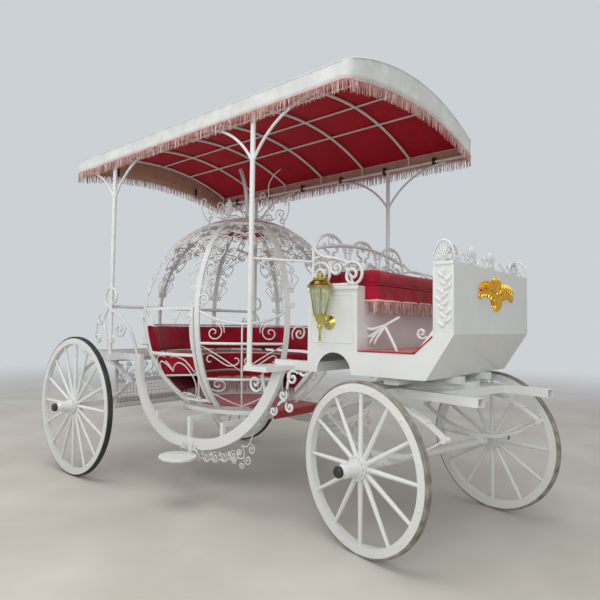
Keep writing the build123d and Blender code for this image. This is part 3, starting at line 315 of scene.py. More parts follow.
def metal(tree, surface, place, colour, roughness, patch_mm, low=0.7, high=1.05, depth_mm=0.15):
    """Bare or plated metal with a tarnish that varies over its surface."""
    tarnish = grain(tree, place, patch_mm, 4.0)
    tone(tree, surface, tarnish, shade(colour, low), shade(colour, high))
    gloss(tree, surface, tarnish, *roughness)
    set_inputs(surface, {"Metallic": 1.0})
    relief(tree, surface, grain(tree, place, 4.0, 2.0), depth_mm, 0.3)


@finish("lacquered_brass")
def brass(*shader):
    """Spun and lacquered brass: bright, yellow, faint spinning marks."""
    metal(*shader, chosen("brass"), (0.14, 0.3), 45.0)


@finish("gold_leaf")
def gilt(*shader):
    """Gold leaf over a cast relief: warm, with rubbed high spots."""
    metal(*shader, chosen("gilt"), (0.16, 0.30), 60.0, 0.8, 1.05, 0.05)


@finish("japanned_iron")
def black_iron(tree, surface, place):
    """Black japanned iron: hub caps and the canopy's ties."""
    wear = grain(tree, place, 18.0, 4.0)
    tone(tree, surface, wear, linear("1C1C1D"), linear("3A3836"))
    gloss(tree, surface, wear, 0.35, 0.6)
    relief(tree, surface, wear, 0.3, 0.4)


@finish("solid_rubber")
def tyre_rubber(tree, surface, place):
    """Solid rubber tyre: near black behind, pale with road dust in front."""
    dust = grain(tree, place, 60.0, 6.0)
    # the front pair has rolled through pale dust; the rear pair is cleaner
    apart = add_node(tree, "ShaderNodeSeparateXYZ", links={"Vector": place})
    front = add_node(tree, "ShaderNodeMath", {"operation": "GREATER_THAN"}, {1: 0.0}, {0: apart.outputs["X"]})
    clean = toned(tree, dust, linear("1B1B1A"), linear("3C3A37"))
    dusty = toned(tree, dust, linear("716D64"), linear("9C968A"))
    mixed = add_node(tree, "ShaderNodeMix", {"data_type": "RGBA"},
                     links={0: front.outputs["Value"], 6: clean, 7: dusty})
    tree.links.new(mixed.outputs[2], surface.inputs["Base Color"])
    gloss(tree, surface, dust, 0.6, 0.85)
    relief(tree, surface, grain(tree, place, 3.0, 2.0), 0.4, 0.5)


@finish("blown_glass")
def lamp_glass(tree, surface, place):
    """Blown lamp glass: clear with a faint green cast and slow ripples."""
    set_inputs(surface, {"Base Color": (*linear("E6EFD8"), 1.0), "Transmission Weight": 0.82, "IOR": 1.45})
    ripple = grain(tree, place, 30.0, 1.0)
    gloss(tree, surface, ripple, 0.04, 0.12)
    relief(tree, surface, ripple, 1.0, 0.3)


@finish("studio_floor")
def floor_pale(tree, surface, place):
    """Pale studio floor that fades to the backdrop's white far off."""
    uneven = grain(tree, place, 900.0, 3.0)
    tone(tree, surface, uneven, linear("BDB8AE"), linear("CAC5BC"))
    set_inputs(surface, {"Roughness": 0.95, "Specular IOR Level": 0.1})
    reach = add_node(tree, "ShaderNodeVectorMath", {"operation": "LENGTH"}, links={0: place})
    fade = add_node(tree, "ShaderNodeMapRange", {"interpolation_type": "SMOOTHSTEP"},
                    {"From Min": 3.5, "From Max": 14.0}, {"Value": reach.outputs["Value"]})
    rays = add_node(tree, "ShaderNodeLightPath")
    seen = add_node(tree, "ShaderNodeMath", {"operation": "MAXIMUM"},
                    links={0: rays.outputs["Is Camera Ray"], 1: rays.outputs["Is Glossy Ray"]})
    seen = add_node(tree, "ShaderNodeMath", {"operation": "MAXIMUM"},
                    links={0: seen.outputs["Value"], 1: rays.outputs["Is Transmission Ray"]})
    faded = add_node(tree, "ShaderNodeMath", {"operation": "MULTIPLY"},
                     links={0: fade.outputs["Result"], 1: seen.outputs["Value"]})
    white = add_node(tree, "ShaderNodeEmission", values={"Color": (*linear("CCD1D5"), 1.0), "Strength": 1.0})
    mix = add_node(tree, "ShaderNodeMixShader",
                   links={0: faded.outputs["Value"], 1: surface.outputs["BSDF"],
                          2: white.outputs["Emission"]})
    output = next(n for n in tree.nodes if n.type == "OUTPUT_MATERIAL")
    tree.links.new(mix.outputs["Shader"], output.inputs["Surface"])


def put(obj, *materials, body=CARRIAGE, slot="white_enamel", stands_for=()):
    """Links a finished piece, with its materials (white enamel if none is given), its body and the
    nodes it stands for; its slot is not used."""
    if obj.name not in bpy.context.scene.collection.all_objects:
        bpy.context.scene.collection.objects.link(obj)
    obj.data.transform(Matrix.Translation(REAR_AXLE))
    for material in materials or [enamel_white()]:
        obj.data.materials.append(material)
    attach(obj, body)
    if stands_for:
        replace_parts(obj, *stands_for)
    return obj


def from_bmesh(bm, name):
    """A mesh object from a bmesh, its doubles merged and its faces turned outwards."""
    bmesh.ops.remove_doubles(bm, verts=bm.verts, dist=0.05 * MM)
    bmesh.ops.recalc_face_normals(bm, faces=bm.faces)
    for edge in bm.edges:
        if len(edge.link_faces) == 2 and edge.calc_face_angle(0.0) > SHARP_EDGE:
            edge.smooth = False
    for face in bm.faces:
        face.smooth = True
    mesh = bpy.data.meshes.new(name)
    bm.to_mesh(mesh)
    bm.free()
    return bpy.data.objects.new(name, mesh)


def block(bm, centre, size):
    """Adds an upright block and gives its corners."""
    return bmesh.ops.create_cube(bm, size=1.0, matrix=Matrix.Translation(centre) @
                                 Matrix.Diagonal((*size, 1.0)))["verts"]


def ball(bm, matrix, radius=1.0, segments=8, rings=6):
    """Adds a ball, placed and stretched by a matrix."""
    bmesh.ops.create_uvsphere(bm, u_segments=segments, v_segments=rings, radius=radius, matrix=matrix)


def chamfer(bm, edges, offset, segments=1):
    """Rounds off edges."""
    bmesh.ops.bevel(bm, geom=list(edges), offset=offset, segments=segments, profile=0.5, affect="EDGES",
                    material=-1)


def thicken(sheet, name, wall_mm, offset=0.0):
    """Gives a sheet its thickness."""
    wall = sheet.modifiers.new(name, "SOLIDIFY")
    wall.thickness = wall_mm * MM
    wall.offset = offset
    return wall


def rods(name, paths, radius, round_steps, closed=False):
    """Round rods, one along each path, as one curve object."""
    curve = bpy.data.curves.new(name, "CURVE")
    curve.dimensions = "3D"
    curve.bevel_depth = radius
    curve.bevel_resolution = round_steps
    curve.use_fill_caps = not closed
    for path in paths:
        spline = curve.splines.new("POLY")
        spline.points.add(len(path) - 1)
        for point, place in zip(spline.points, path):
            point.co = (*place, 1.0)
        spline.use_cyclic_u = closed
        spline.use_smooth = True
    return bpy.data.objects.new(name, curve)


def bars(name, paths, radius, round_steps=1, taper=0.55, material=None, body=CARRIAGE, slot="white_enamel"):
    """Bent round bars, one along each path, drawn finer towards their curled ends, as one piece."""
    obj = rods(name, paths, radius, round_steps)
    for spline in obj.data.splines:
        last = len(spline.points) - 1
        for i, point in enumerate(spline.points):
            edge = min(i, last - i) / max(1, last)
            point.radius = taper + (1.0 - taper) * min(1.0, edge * 5.0)
    return put(obj, material or enamel_white(), body=body, slot=slot)


def cord_along(name, run, radius, material, closed=False):
    """Piping: a round cord sewn along a run of points."""
    return put(rods(name, [run], radius, 2, closed), material, slot="red_upholstery")


def ray(turn, radius=1.0):
    """A flat vector of a length at a turn in radians."""
    return Vector((radius * cos(turn), radius * sin(turn)))


# a scroll's spirals are this share of the distance between its eyes
SPIRAL_SHARE = 0.24


def scroll(start, end, turns_start, turns_end, bow=0.0):
    """A flat scroll between two eyes. Each end winds up by its turns; opposite signs give an S,
    like signs give a C. Bow lifts the run between them, as a share of its length."""
    a, b = Vector(start), Vector(end)
    ahead = (b - a).normalized()
    aside = Vector((-ahead.y, ahead.x))
    radius = SPIRAL_SHARE * (b - a).length
    leave, join = a - aside * copysign(radius, turns_start), b - aside * copysign(radius, turns_end)
    reach = (join - leave).length
    run = volute(a, leave, radius, turns_start)
    for i in range(1, 8):
        t = i / 8
        place = leave.lerp(join, t * t * (3 - 2 * t)) + ahead * (reach * t * (1 - t) * (1 - 2 * t))
        run.append(place - aside * (copysign(bow, turns_start) * reach * t * (1 - t)))
    return run + volute(b, join, radius, -turns_end)[::-1]


def arc_run(start, end, rise, steps=12):
    """Flat points of one shallow arc that rises off its chord."""
    a, b = Vector(start), Vector(end)
    side = Vector((-(b - a).y, (b - a).x)).normalized()
    return [a.lerp(b, i / steps) + side * (4 * rise * (i / steps) * (1 - i / steps))
            for i in range(steps + 1)]


def on_cage(azimuth, skin=0.0):
    """A mapping from flat (across, up) metres to the cage's round, from its belt at an azimuth."""
    def place(point):
        rise = point[1] / CAGE_R
        turn = radians(azimuth) + point[0] / (CAGE_R * max(0.25, cos(rise)))
        r = CAGE_R + skin
        return CAGE + Vector((r * cos(rise) * cos(turn), r * cos(rise) * sin(turn), r * sin(rise)))

    return place


def on_plane(origin, across):
    """A mapping from flat (across, up) metres to an upright plane."""
    origin, across = Vector(origin), Vector(across).normalized()
    return lambda point: origin + across * point[0] + UP * point[1]


def side_plane(y):
    """The upright plane along the carriage at a distance from its middle."""
    return on_plane((0.0, y, 0.0), (1, 0, 0))


def cross_plane(x):
    """The upright plane across the carriage at a distance from its rear axle."""
    return on_plane((x, 0.0, 0.0), (0, 1, 0))


def mapped(place, path, mirror=False):
    """A flat path carried onto a surface, mirrored left to right if asked."""
    return [place((-p[0] if mirror else p[0], p[1])) for p in path]


def both(place, path):
    """A flat path carried onto a surface twice: as drawn, and mirrored left to right."""
    return [mapped(place, path, mirror) for mirror in (False, True)]


def runs(place, rows):
    """Smooth runs through rows of flat points, carried onto a surface."""
    return [mapped(place, through(points)) for points in rows]


def volutes(place, rows):
    """Volutes from rows of (eye, outer point, radius, turns), carried onto a surface."""
    return [mapped(place, volute(*row)) for row in rows]


def strands(name, run, length, radius, pitch, seed=1):
    """A fringe: yarn strands hung at a pitch along a run of points, as one piece."""
    rng = random.Random(seed)
    bm = bmesh.new()
    carried = 0.0
    for a, b in zip(run, run[1:]):
        gap = (b - a).length
        along = (b - a).normalized()
        while carried < gap:
            top = a.lerp(b, carried / gap)
            reach = length * rng.uniform(0.86, 1.06)
            lean = along * rng.uniform(-0.16, 0.16)
            lean += Vector((rng.uniform(-0.07, 0.07), rng.uniform(-0.07, 0.07), 0))
            axis = (lean - UP).normalized()
            turn = axis.to_track_quat("Z", "Y").to_matrix().to_4x4()
            bmesh.ops.create_cone(bm, cap_ends=True, segments=4, radius1=radius, radius2=radius * 0.45,
                                  depth=reach, matrix=Matrix.Translation(top + axis * reach / 2) @ turn)
            carried += pitch * rng.uniform(0.85, 1.15)
        carried -= gap
    return put(from_bmesh(bm, name), fringe_yarn(), slot="red_upholstery")


# the cloth simulation's length and the air that fills each cover
CLOTH_FRAMES, CLOTH_PRESSURE = 20, 4.0


def inflate(obj, cap, voxel):
    """Fills a closed cover by a short cloth simulation, and lets no point move past the cap."""

    def take_result():
        depsgraph = bpy.context.evaluated_depsgraph_get()
        mesh = bpy.data.meshes.new_from_object(obj.evaluated_get(depsgraph))
        obj.modifiers.clear()
        obj.data = mesh
        return mesh

    remesh = obj.modifiers.new("Even mesh", "REMESH")
    remesh.mode = "VOXEL"
    remesh.voxel_size = voxel
    before = [vertex.co.copy() for vertex in take_result().vertices]
    cover = obj.modifiers.new("Cover", "CLOTH")
    cover.settings.use_pressure = True
    cover.settings.uniform_pressure_force = CLOTH_PRESSURE
    cover.settings.effector_weights.gravity = 0.0
    cover.settings.quality = 4
    cover.point_cache.frame_start = 1
    cover.point_cache.frame_end = CLOTH_FRAMES
    for step in range(1, CLOTH_FRAMES + 1):
        bpy.context.scene.frame_set(step)
    filled = take_result()
    for vertex, start in zip(filled.vertices, before):
        moved = vertex.co - start
        if moved.length > cap:
            vertex.co = start + moved * (cap / moved.length)
    for polygon in filled.polygons:
        polygon.use_smooth = True
    bpy.context.scene.frame_set(1)


class CARRIAGE_OT_stage(bpy.types.Operator):
    """Sets up the pale floor, the soft lights and the camera"""

    bl_idname = "carriage.stage"
    bl_label = "Stage"

    def execute(self, context):
        scene = context.scene
        scene.view_settings.view_transform = "Standard"
        bm = bmesh.new()
        bmesh.ops.create_circle(bm, cap_ends=True, segments=96, radius=60.0)
        floor = from_bmesh(bm, "studio_floor")
        scene.collection.objects.link(floor)
        floor.data.materials.append(floor_pale())

        world = bpy.data.worlds.new("soft_daylight")
        scene.world = world
        world.use_nodes = True
        tree = world.node_tree
        tree.nodes.clear()
        rays = add_node(tree, "ShaderNodeLightPath")
        seen = add_node(tree, "ShaderNodeMath", {"operation": "MAXIMUM"},
                        links={0: rays.outputs["Is Camera Ray"], 1: rays.outputs["Is Transmission Ray"]})
        dim = add_node(tree, "ShaderNodeBackground",
                       values={"Color": (0.93, 0.96, 1.0, 1.0), "Strength": 0.5})
        white = add_node(tree, "ShaderNodeBackground",
                         values={"Color": (*linear("CCD1D5"), 1.0), "Strength": 1.0})
        mix = add_node(tree, "ShaderNodeMixShader",
                       links={0: seen.outputs["Value"], 1: dim.outputs["Background"],
                              2: white.outputs["Background"]})
        add_node(tree, "ShaderNodeOutputWorld", links={"Surface": mix.outputs["Shader"]})

        lights = (
            # name, place, aim, size, watts
            ("overhead_soft", (2.0, -1.5, 7.0), (1.2, 0.0, 1.0), 6.0, 250.0),
            ("near_side_soft", (5.5, -6.5, 3.6), (1.3, 0.0, 1.1), 4.0, 190.0),
            ("rear_side_soft", (-4.5, -4.0, 3.5), (0.8, 0.0, 1.0), 4.0, 90.0),
        )
        for name, place, aim, size, watts in lights:
            light = bpy.data.lights.new(name, "AREA")
            light.shape = "DISK"
            light.size = size
            light.energy = watts
            lamp = bpy.data.objects.new(name, light)
            lamp.location = Vector(place) + REAR_AXLE
            lamp.rotation_mode = "QUATERNION"
            lamp.rotation_quaternion = (Vector(aim) - Vector(place)).to_track_quat("-Z", "Y")
            scene.collection.objects.link(lamp)

        # the camera stands where the wheels' ellipses and the canopy's edges put it
        stand = Vector((4.0992, -2.9858, 1.2118))
        yaw, pitch, roll = radians(130.013), radians(2.82), radians(0.7212)
        focal_pixels, frame_pixels, sensor_mm = 520.44, 600.0, 36.0
        ahead = Vector((cos(yaw) * cos(pitch), sin(yaw) * cos(pitch), sin(pitch)))
        right = ahead.cross(UP).normalized()
        above = right.cross(ahead)
        across = right * cos(roll) + above * sin(roll)
        up = above * cos(roll) - right * sin(roll)
        data = bpy.data.cameras.new("camera")
        data.sensor_width = sensor_mm
        data.lens = focal_pixels / frame_pixels * sensor_mm
        data.clip_start, data.clip_end = 0.05, 200.0
        camera = bpy.data.objects.new("camera", data)
        turn = Matrix((across, up, -ahead)).transposed().to_4x4()
        camera.matrix_world = Matrix.Translation(REAR_AXLE + stand) @ turn
        scene.collection.objects.link(camera)
        scene.camera = camera
        return {"FINISHED"}


class CARRIAGE_OT_finishes(bpy.types.Operator):
    """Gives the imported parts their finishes"""

    bl_idname = "carriage.finishes"
    bl_label = "Finishes"

    def execute(self, context):
        for name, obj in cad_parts.items():
            if name.startswith("tyre"):
                material = tyre_rubber()
            elif name.startswith("lamp"):
                material = brass()
            else:
                material = enamel_white()
            if not obj.material_slots:
                obj.data.materials.append(material)
            for slot in obj.material_slots:
                slot.material = material
        return {"FINISHED"}


CANOPY_X = (-0.262, 2.592)
CANOPY_MIDDLE, CANOPY_REACH = sum(CANOPY_X) / 2, (CANOPY_X[1] - CANOPY_X[0]) / 2
CANOPY_HALF = 0.824
CANOPY_EDGE = 2.5
CANOPY_SHOULDER = 2.602
CANOPY_CROWN = 2.772
ROOF_R = (CANOPY_HALF ** 2 + (CANOPY_CROWN - CANOPY_SHOULDER) ** 2) / (2 * (CANOPY_CROWN - CANOPY_SHOULDER))
END_ARCH = 0.1
CORNER_R = 0.045
BOW_FIRST, BOW_PITCH = -0.1887, 0.451
BOW_LAST = BOW_FIRST + BOW_PITCH * 6
# how far down the hanging band each row of its cloth lies
BAND_ROWS = (0.08, 0.4, 0.72, 1.0)
SIDE_TIE, SIDE_TIE_PLACE = (0.022, 0.034, 0.058), (0.797, 2.523)
END_TIE, END_TIE_PLACE, END_TIE_INSET = (0.012, 0.022, 0.07), (0.45, 2.6), 0.03
PURLIN_DROP = 0.022


def roof_height(x, y):
    """Height of the canopy cloth: the bows' round, with a slight sag between them."""
    arch = CANOPY_CROWN - ROOF_R + sqrt(ROOF_R ** 2 - min(abs(y), CANOPY_HALF) ** 2)
    between = (x - BOW_FIRST) / BOW_PITCH
    sag = 0.011 * sin(pi * between) ** 2 * (1 - (y / CANOPY_HALF) ** 4)
    return arch - sag


def edge_height(x, y):
    """Height of the band's lower edge: level along the sides, arched across the ends."""
    reach = CANOPY_HALF - CORNER_R
    ends = max(0.0, (abs(x - CANOPY_MIDDLE) - CANOPY_REACH + CORNER_R) / CORNER_R)
    return CANOPY_EDGE + END_ARCH * max(0.0, 1 - (y / reach) ** 2) * min(1.0, ends * 4)


def rounded_plan(x, y):
    """Draws the square corner of the flat cloth in to the plan's rounded corner."""
    dx = abs(x - CANOPY_MIDDLE) - (CANOPY_REACH - CORNER_R)
    dy = abs(y) - (CANOPY_HALF - CORNER_R)
    if dx <= 0 or dy <= 0:
        return x, y
    shrink = max(dx, dy) / hypot(dx, dy)
    sx, sy = (1 if x > CANOPY_MIDDLE else -1), (1 if y > 0 else -1)
    return (CANOPY_MIDDLE + sx * (CANOPY_REACH - CORNER_R + dx * shrink),
            sy * (CANOPY_HALF - CORNER_R + dy * shrink))


def canopy_rim():
    """Points round the band's lower edge, in order."""
    run = []
    for sx, sy, start in ((1, -1, -90), (1, 1, 0), (-1, 1, 90), (-1, -1, 180)):
        cx, cy = CANOPY_MIDDLE + sx * (CANOPY_REACH - CORNER_R), sy * (CANOPY_HALF - CORNER_R)
        for i in range(5):
            turn = radians(start + 90 * i / 4)
            x, y = cx + CORNER_R * cos(turn), cy + CORNER_R * sin(turn)
            run.append(Vector((x, y, edge_height(x, y))))
    run.append(run[0].copy())
    full = []
    for a, b in zip(run, run[1:]):
        pieces = max(1, ceil((b - a).length / 0.05))
        for i in range(pieces):
            p = a.lerp(b, i / pieces)
            full.append(Vector((p.x, p.y, edge_height(p.x, p.y))))
    return full + [full[0].copy()]


class CARRIAGE_OT_canopy(bpy.types.Operator):
    """Stretches the canopy cloth over its bows, with its hanging band, fringe and ties"""

    bl_idname = "carriage.canopy"
    bl_label = "Canopy"

    def execute(self, context):
        sizes = context.scene.carriage_sizes
        bm = bmesh.new()
        bmesh.ops.create_grid(bm, x_segments=84, y_segments=48, size=1.0)
        for vertex in bm.verts:
            x, y = rounded_plan(CANOPY_MIDDLE + vertex.co.x * CANOPY_REACH, vertex.co.y * CANOPY_HALF)
            vertex.co = (x, y, roof_height(x, y))
        rim = [edge for edge in bm.edges if edge.is_boundary]
        top_faces = set(bm.faces)
        for share in BAND_ROWS:
            made = bmesh.ops.extrude_edge_only(bm, edges=rim)["geom"]
            rim = [item for item in made if isinstance(item, bmesh.types.BMEdge) and item.is_boundary]
            for vertex in (item for item in made if isinstance(item, bmesh.types.BMVert)):
                top, low = (height(vertex.co.x, vertex.co.y) for height in (roof_height, edge_height))
                vertex.co.z = top + (low - top) * share
        for vertex in bm.verts:
            ripple = noise.noise(Vector((vertex.co.x * 3.1, vertex.co.y * 3.1, vertex.co.z * 9.0)))
            fine = noise.noise(Vector((vertex.co.x * 11.0, vertex.co.y * 11.0, 4.0)))
            vertex.co.z += 0.003 * ripple + 0.001 * fine
            if vertex.co.z < roof_height(vertex.co.x, vertex.co.y) - 0.02:
                out = Vector((vertex.co.x - CANOPY_MIDDLE, 0.0, 0.0))
                if abs(vertex.co.y) > CANOPY_HALF - 0.02:
                    out = Vector((0.0, vertex.co.y, 0.0))
                vertex.co += out.normalized() * (0.004 * ripple - 0.002)
        for face in bm.faces:
            face.material_index = 0 if face in top_faces else 2
        cover = from_bmesh(bm, "canopy_cover")
        wall = thicken(cover, "Cloth thickness", 2.0, -1.0)
        # the inner faces take the next material: the red lining under the roof and, on the band, the canvas
        # back in painted shade
        wall.material_offset = 1
        wall.material_offset_rim = 0
        put(cover, canopy_outside(), canopy_lining(), canopy_outside(), canopy_band_painted_shade(),
            slot="canopy_cloth", stands_for=("canopy",))

        run = canopy_rim()
        fringe = strands("canopy_fringe", run, sizes.fringe, sizes.strand, sizes.strand_pitch)
        gimp = cord_along("canopy_gimp", run[:-1], 5.0 * MM, piping_pink(), closed=True)
        ties = bmesh.new()
        for i in range(6):
            for side in SIDES.values():
                block(ties, (BOW_FIRST + BOW_PITCH * (i + 0.5), side * SIDE_TIE_PLACE[0], SIDE_TIE_PLACE[1]),
                      SIDE_TIE)
        for side in SIDES.values():
            for x in (CANOPY_X[0] + END_TIE_INSET, CANOPY_X[1] - END_TIE_INSET):
                block(ties, (x, side * END_TIE_PLACE[0], END_TIE_PLACE[1]), END_TIE)
        chamfer(ties, ties.edges, 2.0 * MM)
        put(from_bmesh(ties, "canopy_ties"), black_iron(), slot="canopy_cloth")
        seam_plan = [rounded_plan(p.x, p.y) for p in run[:-1]]
        seam = cord_along("canopy_seam", [Vector((x, y, roof_height(x, y) - 0.003)) for x, y in seam_plan],
                          3.5 * MM, canopy_outside(), closed=True)
        ridge = roof_height(BOW_FIRST, 0.0) - PURLIN_DROP
        bars("canopy_purlins", [[Vector((BOW_FIRST + (BOW_LAST - BOW_FIRST) * i / 12, 0.0, ridge))
                                 for i in range(13)]], 6.5 * MM, taper=1.0)
        return {"FINISHED"}


def eased(points, reach, steps=4):
    """A closed outline with every corner rounded over a reach."""
    points = [Vector(point) for point in points]
    outline = []
    for before, corner, after in zip(points[-1:] + points[:-1], points, points[1:] + points[:1]):
        start = corner + (before - corner).normalized() * reach
        end = corner + (after - corner).normalized() * reach
        outline += [start.lerp(corner, i / steps).lerp(corner.lerp(end, i / steps), i / steps)
                    for i in range(steps + 1)]
    return outline


def turned(bm, outline, centre, axis=(0.0, 0.0, 1.0), start=0.0, sweep=360.0, steps=32, closed=False):
    """Turns an outline of (radius, height) pairs about an axis; a part turn of a closed outline is closed at
    its ends.
    """
    centre, axis = Vector(centre), Vector(axis).normalized()
    out = Vector((1.0, 0.0, 0.0)) if abs(axis.z) > 0.5 else Vector((0.0, 0.0, 1.0))
    out = Matrix.Rotation(radians(start), 3, axis) @ out
    line = [bm.verts.new(centre + out * radius + axis * height) for radius, height in outline]
    after = line[1:] + line[:1] if closed else line[1:]
    edges = [bm.edges.new(pair) for pair in zip(line, after)]
    bmesh.ops.spin(bm, geom=line + edges, cent=centre, axis=axis, angle=radians(sweep), steps=steps,
                   use_merge=sweep == 360.0, use_duplicate=False)
    if closed and sweep < 360.0:
        bmesh.ops.holes_fill(bm, edges=[edge for edge in bm.edges if edge.is_boundary], sides=0)


def walk(run):
    """A function from a share of a run's length to the place and the heading there, and the length."""
    spans = [(b - a).length for a, b in zip(run, run[1:])]

    def at(share):
        left = min(max(share, 0.0), 1.0) * sum(spans)
        for a, b, span in zip(run, run[1:], spans):
            if left <= span:
                break
            left -= span
        return a.lerp(b, min(1.0, left / max(span, 1e-9))), (b - a).normalized()

    return at, sum(spans)


def ring_run(radius, height, start, sweep):
    """Points round the cage's upright axis."""
    return [CAGE + Vector((*ray(radians(start + sweep * i / 64), radius), height - CAGE.z))
            for i in range(65)]


def hung(name, run, drop, fold, pitch):
    """A strip of red cloth hung from a run of points, with folds that open towards its hem."""
    at, length = walk(run)
    bm = bmesh.new()
    bmesh.ops.create_grid(bm, x_segments=max(8, ceil(length / 0.012)), y_segments=8, size=1.0)
    for vertex in bm.verts:
        share, low = (vertex.co.x + 1) / 2, (1 - vertex.co.y) / 2
        place, heading = at(share)
        wave = sin(tau * share * length / pitch + 1.3 * sin(7.0 * share))
        wave += 0.6 * noise.noise(Vector((share * length * 9.0, low * 3.0, length)))
        vertex.co = place + Vector((heading.y, -heading.x, 0.0)) * (fold * low * wave)
        vertex.co.z -= drop * low
    strip = from_bmesh(bm, name)
    thicken(strip, "Cloth thickness", 1.6)
    return put(strip, upholstery_red(), slot="red_upholstery"), length


def through(points, steps=5):
    """A smooth run through flat points."""
    points = [Vector(point) for point in points]
    run = []
    for i in range(len(points) - 1):
        before, a = points[max(0, i - 1)], points[i]
        b, after = points[i + 1], points[min(len(points) - 1, i + 2)]
        for k in range(steps):
            t = k / steps
            run.append(0.5 * (2 * a + (b - before) * t + (2 * before - 5 * a + 4 * b - after) * t * t
                              + (3 * a - before - 3 * b + after) * t ** 3))
    return run + [points[-1]]


def volute(eye, outer, radius, turns, steps_per_turn=16):
    """A flat spiral that leaves its eye, opens over its turns (positive is anticlockwise) and
    ends at the given radius in the direction of the outer point."""
    eye, outer = Vector(eye), Vector(outer)
    end = atan2((outer - eye).y, (outer - eye).x)
    steps = max(8, ceil(abs(turns) * steps_per_turn))
    run = []
    for i in range(steps + 1):
        t = i / steps
        r = radius * (0.1 + 0.9 * t ** 1.2)
        turn = end - tau * turns * (1 - t)
        run.append(eye + Vector((cos(turn), sin(turn))) * r)
    return run


def padded_cover(bm, name, node, voxel, cap):
    """A stuffed red cushion from its sewn cover, in a node's place."""
    cover = from_bmesh(bm, name)
    bpy.context.scene.collection.objects.link(cover)
    inflate(cover, cap, voxel)
    put(cover, upholstery_red(), slot="red_upholstery", stands_for=(node,))


def cage_outer(height):
    """Radius of the cage's round at a height."""
    return sqrt(CAGE_R ** 2 - (height - CAGE.z) ** 2)


SEAT_TOP, SEAT_LOW, SEAT_INNER = 0.968, 0.822, 0.344
BACK_TOP, BACK_LOW = 1.205, 0.982
BENCH_START, BENCH_SWEEP = 70.0, 168.0
BUTTON_ROWS = (1.135, 1.05)
BUTTONS_IN_ROW, BUTTON_PITCH = 8, 21.0
SKIRT_DROP = 0.046
CLOTH_TOP, CLOTH_DROP = 0.955, 0.285
SKIRT_FRINGE_TOP, SKIRT_FRINGE = 0.768, 0.138
CLOTH_FRINGE_TOP, CLOTH_FRINGE = 0.673, 0.070


class CARRIAGE_OT_bench(bpy.types.Operator):
    """Sews the round bench: stuffed seat and back, piping, buttons, skirt and fringe"""

    bl_idname = "carriage.bench"
    bl_label = "Bench"

    def execute(self, context):
        red, pink = upholstery_red(), piping_pink()
        for name, node, outline, round_off, short, cap in (
                ("bench_seat_cover", "bench_cushion",
                 ((SEAT_INNER, SEAT_LOW), (cage_outer(SEAT_LOW) - 0.03, SEAT_LOW),
                  (cage_outer(SEAT_TOP) - 0.03, SEAT_TOP - 0.008), (SEAT_INNER, SEAT_TOP - 0.008)),
                 0.03, 1.0, 16 * MM),
                ("bench_back_cover", "bench_back",
                 ((cage_outer(BACK_LOW) - 0.088, BACK_LOW), (cage_outer(BACK_LOW) - 0.032, BACK_LOW),
                  (cage_outer(BACK_TOP) - 0.03, BACK_TOP - 0.004),
                  (cage_outer(BACK_TOP) - 0.082, BACK_TOP - 0.004)),
                 0.02, 0.5, 10 * MM)):
            bm = bmesh.new()
            turned(bm, eased(outline, round_off), CAGE_AXIS, start=BENCH_START + short,
                   sweep=BENCH_SWEEP - 2 * short, steps=56, closed=True)
            padded_cover(bm, name, node, 9 * MM, cap)

        for name, radius, height in (("bench_seat_top_piping", SEAT_INNER - 0.006, SEAT_TOP),
                                     ("bench_seat_low_piping", SEAT_INNER - 0.008, SEAT_LOW),
                                     ("bench_back_piping", cage_outer(BACK_TOP) - 0.085, BACK_TOP)):
            cord_along(name, ring_run(radius, height, BENCH_START, BENCH_SWEEP),
                       context.scene.carriage_sizes.piping, pink)
        buttons = bmesh.new()
        for row, height in enumerate(BUTTON_ROWS):
            for i in range(BUTTONS_IN_ROW):
                turn = radians(BENCH_START + BUTTON_PITCH * (i + (row + 1) / 2))
                if turn <= radians(BENCH_START + BENCH_SWEEP - 5):
                    place = (*ray(turn, cage_outer(height) - 0.094), height - CAGE.z)
                    ball(buttons, Matrix.Translation(CAGE + Vector(place)), 9 * MM, 10)
        put(from_bmesh(buttons, "bench_buttons"), red, slot="red_upholstery")

        run = ring_run(SEAT_INNER - 0.010, SEAT_LOW - 0.012, BENCH_START, BENCH_SWEEP)
        skirt, length = hung("bench_skirt", run, SKIRT_DROP, 0.003, 0.13)
        fringe = strands("bench_fringe", [Vector((p.x, p.y, SKIRT_FRINGE_TOP)) for p in run], SKIRT_FRINGE,
                         3.6 * MM, 7.0 * MM, seed=3)

        # the bench's outer side is dressed with the same cloth, drawn in along the ribs' round
        start, sweep = BENCH_START + 1, BENCH_SWEEP - 2
        heights = [CLOTH_TOP - CLOTH_DROP * i / 10 for i in range(11)]
        profile = [(cage_outer(z) - 0.040, z) for z in heights]
        bm = bmesh.new()
        turned(bm, profile, CAGE_AXIS, start=start, sweep=sweep, steps=120)
        for vertex in bm.verts:
            out = Vector((vertex.co.x - CAGE.x, vertex.co.y, 0.0))
            low = (CLOTH_TOP - vertex.co.z) / CLOTH_DROP
            wave = sin(atan2(out.y, out.x) * 22.0) + noise.noise(vertex.co * 9.0)
            vertex.co -= out.normalized() * (0.005 * low * (1 + wave))
        outer = from_bmesh(bm, "bench_outer_cloth")
        thicken(outer, "Cloth thickness", 1.6)
        put(outer, red, slot="red_upholstery")
        spans = [(hypot(b[0] - a[0], b[1] - a[1]), (a[0] + b[0]) / 2) for a, b in zip(profile, profile[1:])]
        hem = ring_run(profile[-1][0] - 0.008, CLOTH_FRINGE_TOP, start, sweep)
        edge = strands("bench_outer_fringe", hem, CLOTH_FRINGE, 3.6 * MM, 7.5 * MM, seed=7)
        return {"FINISHED"}


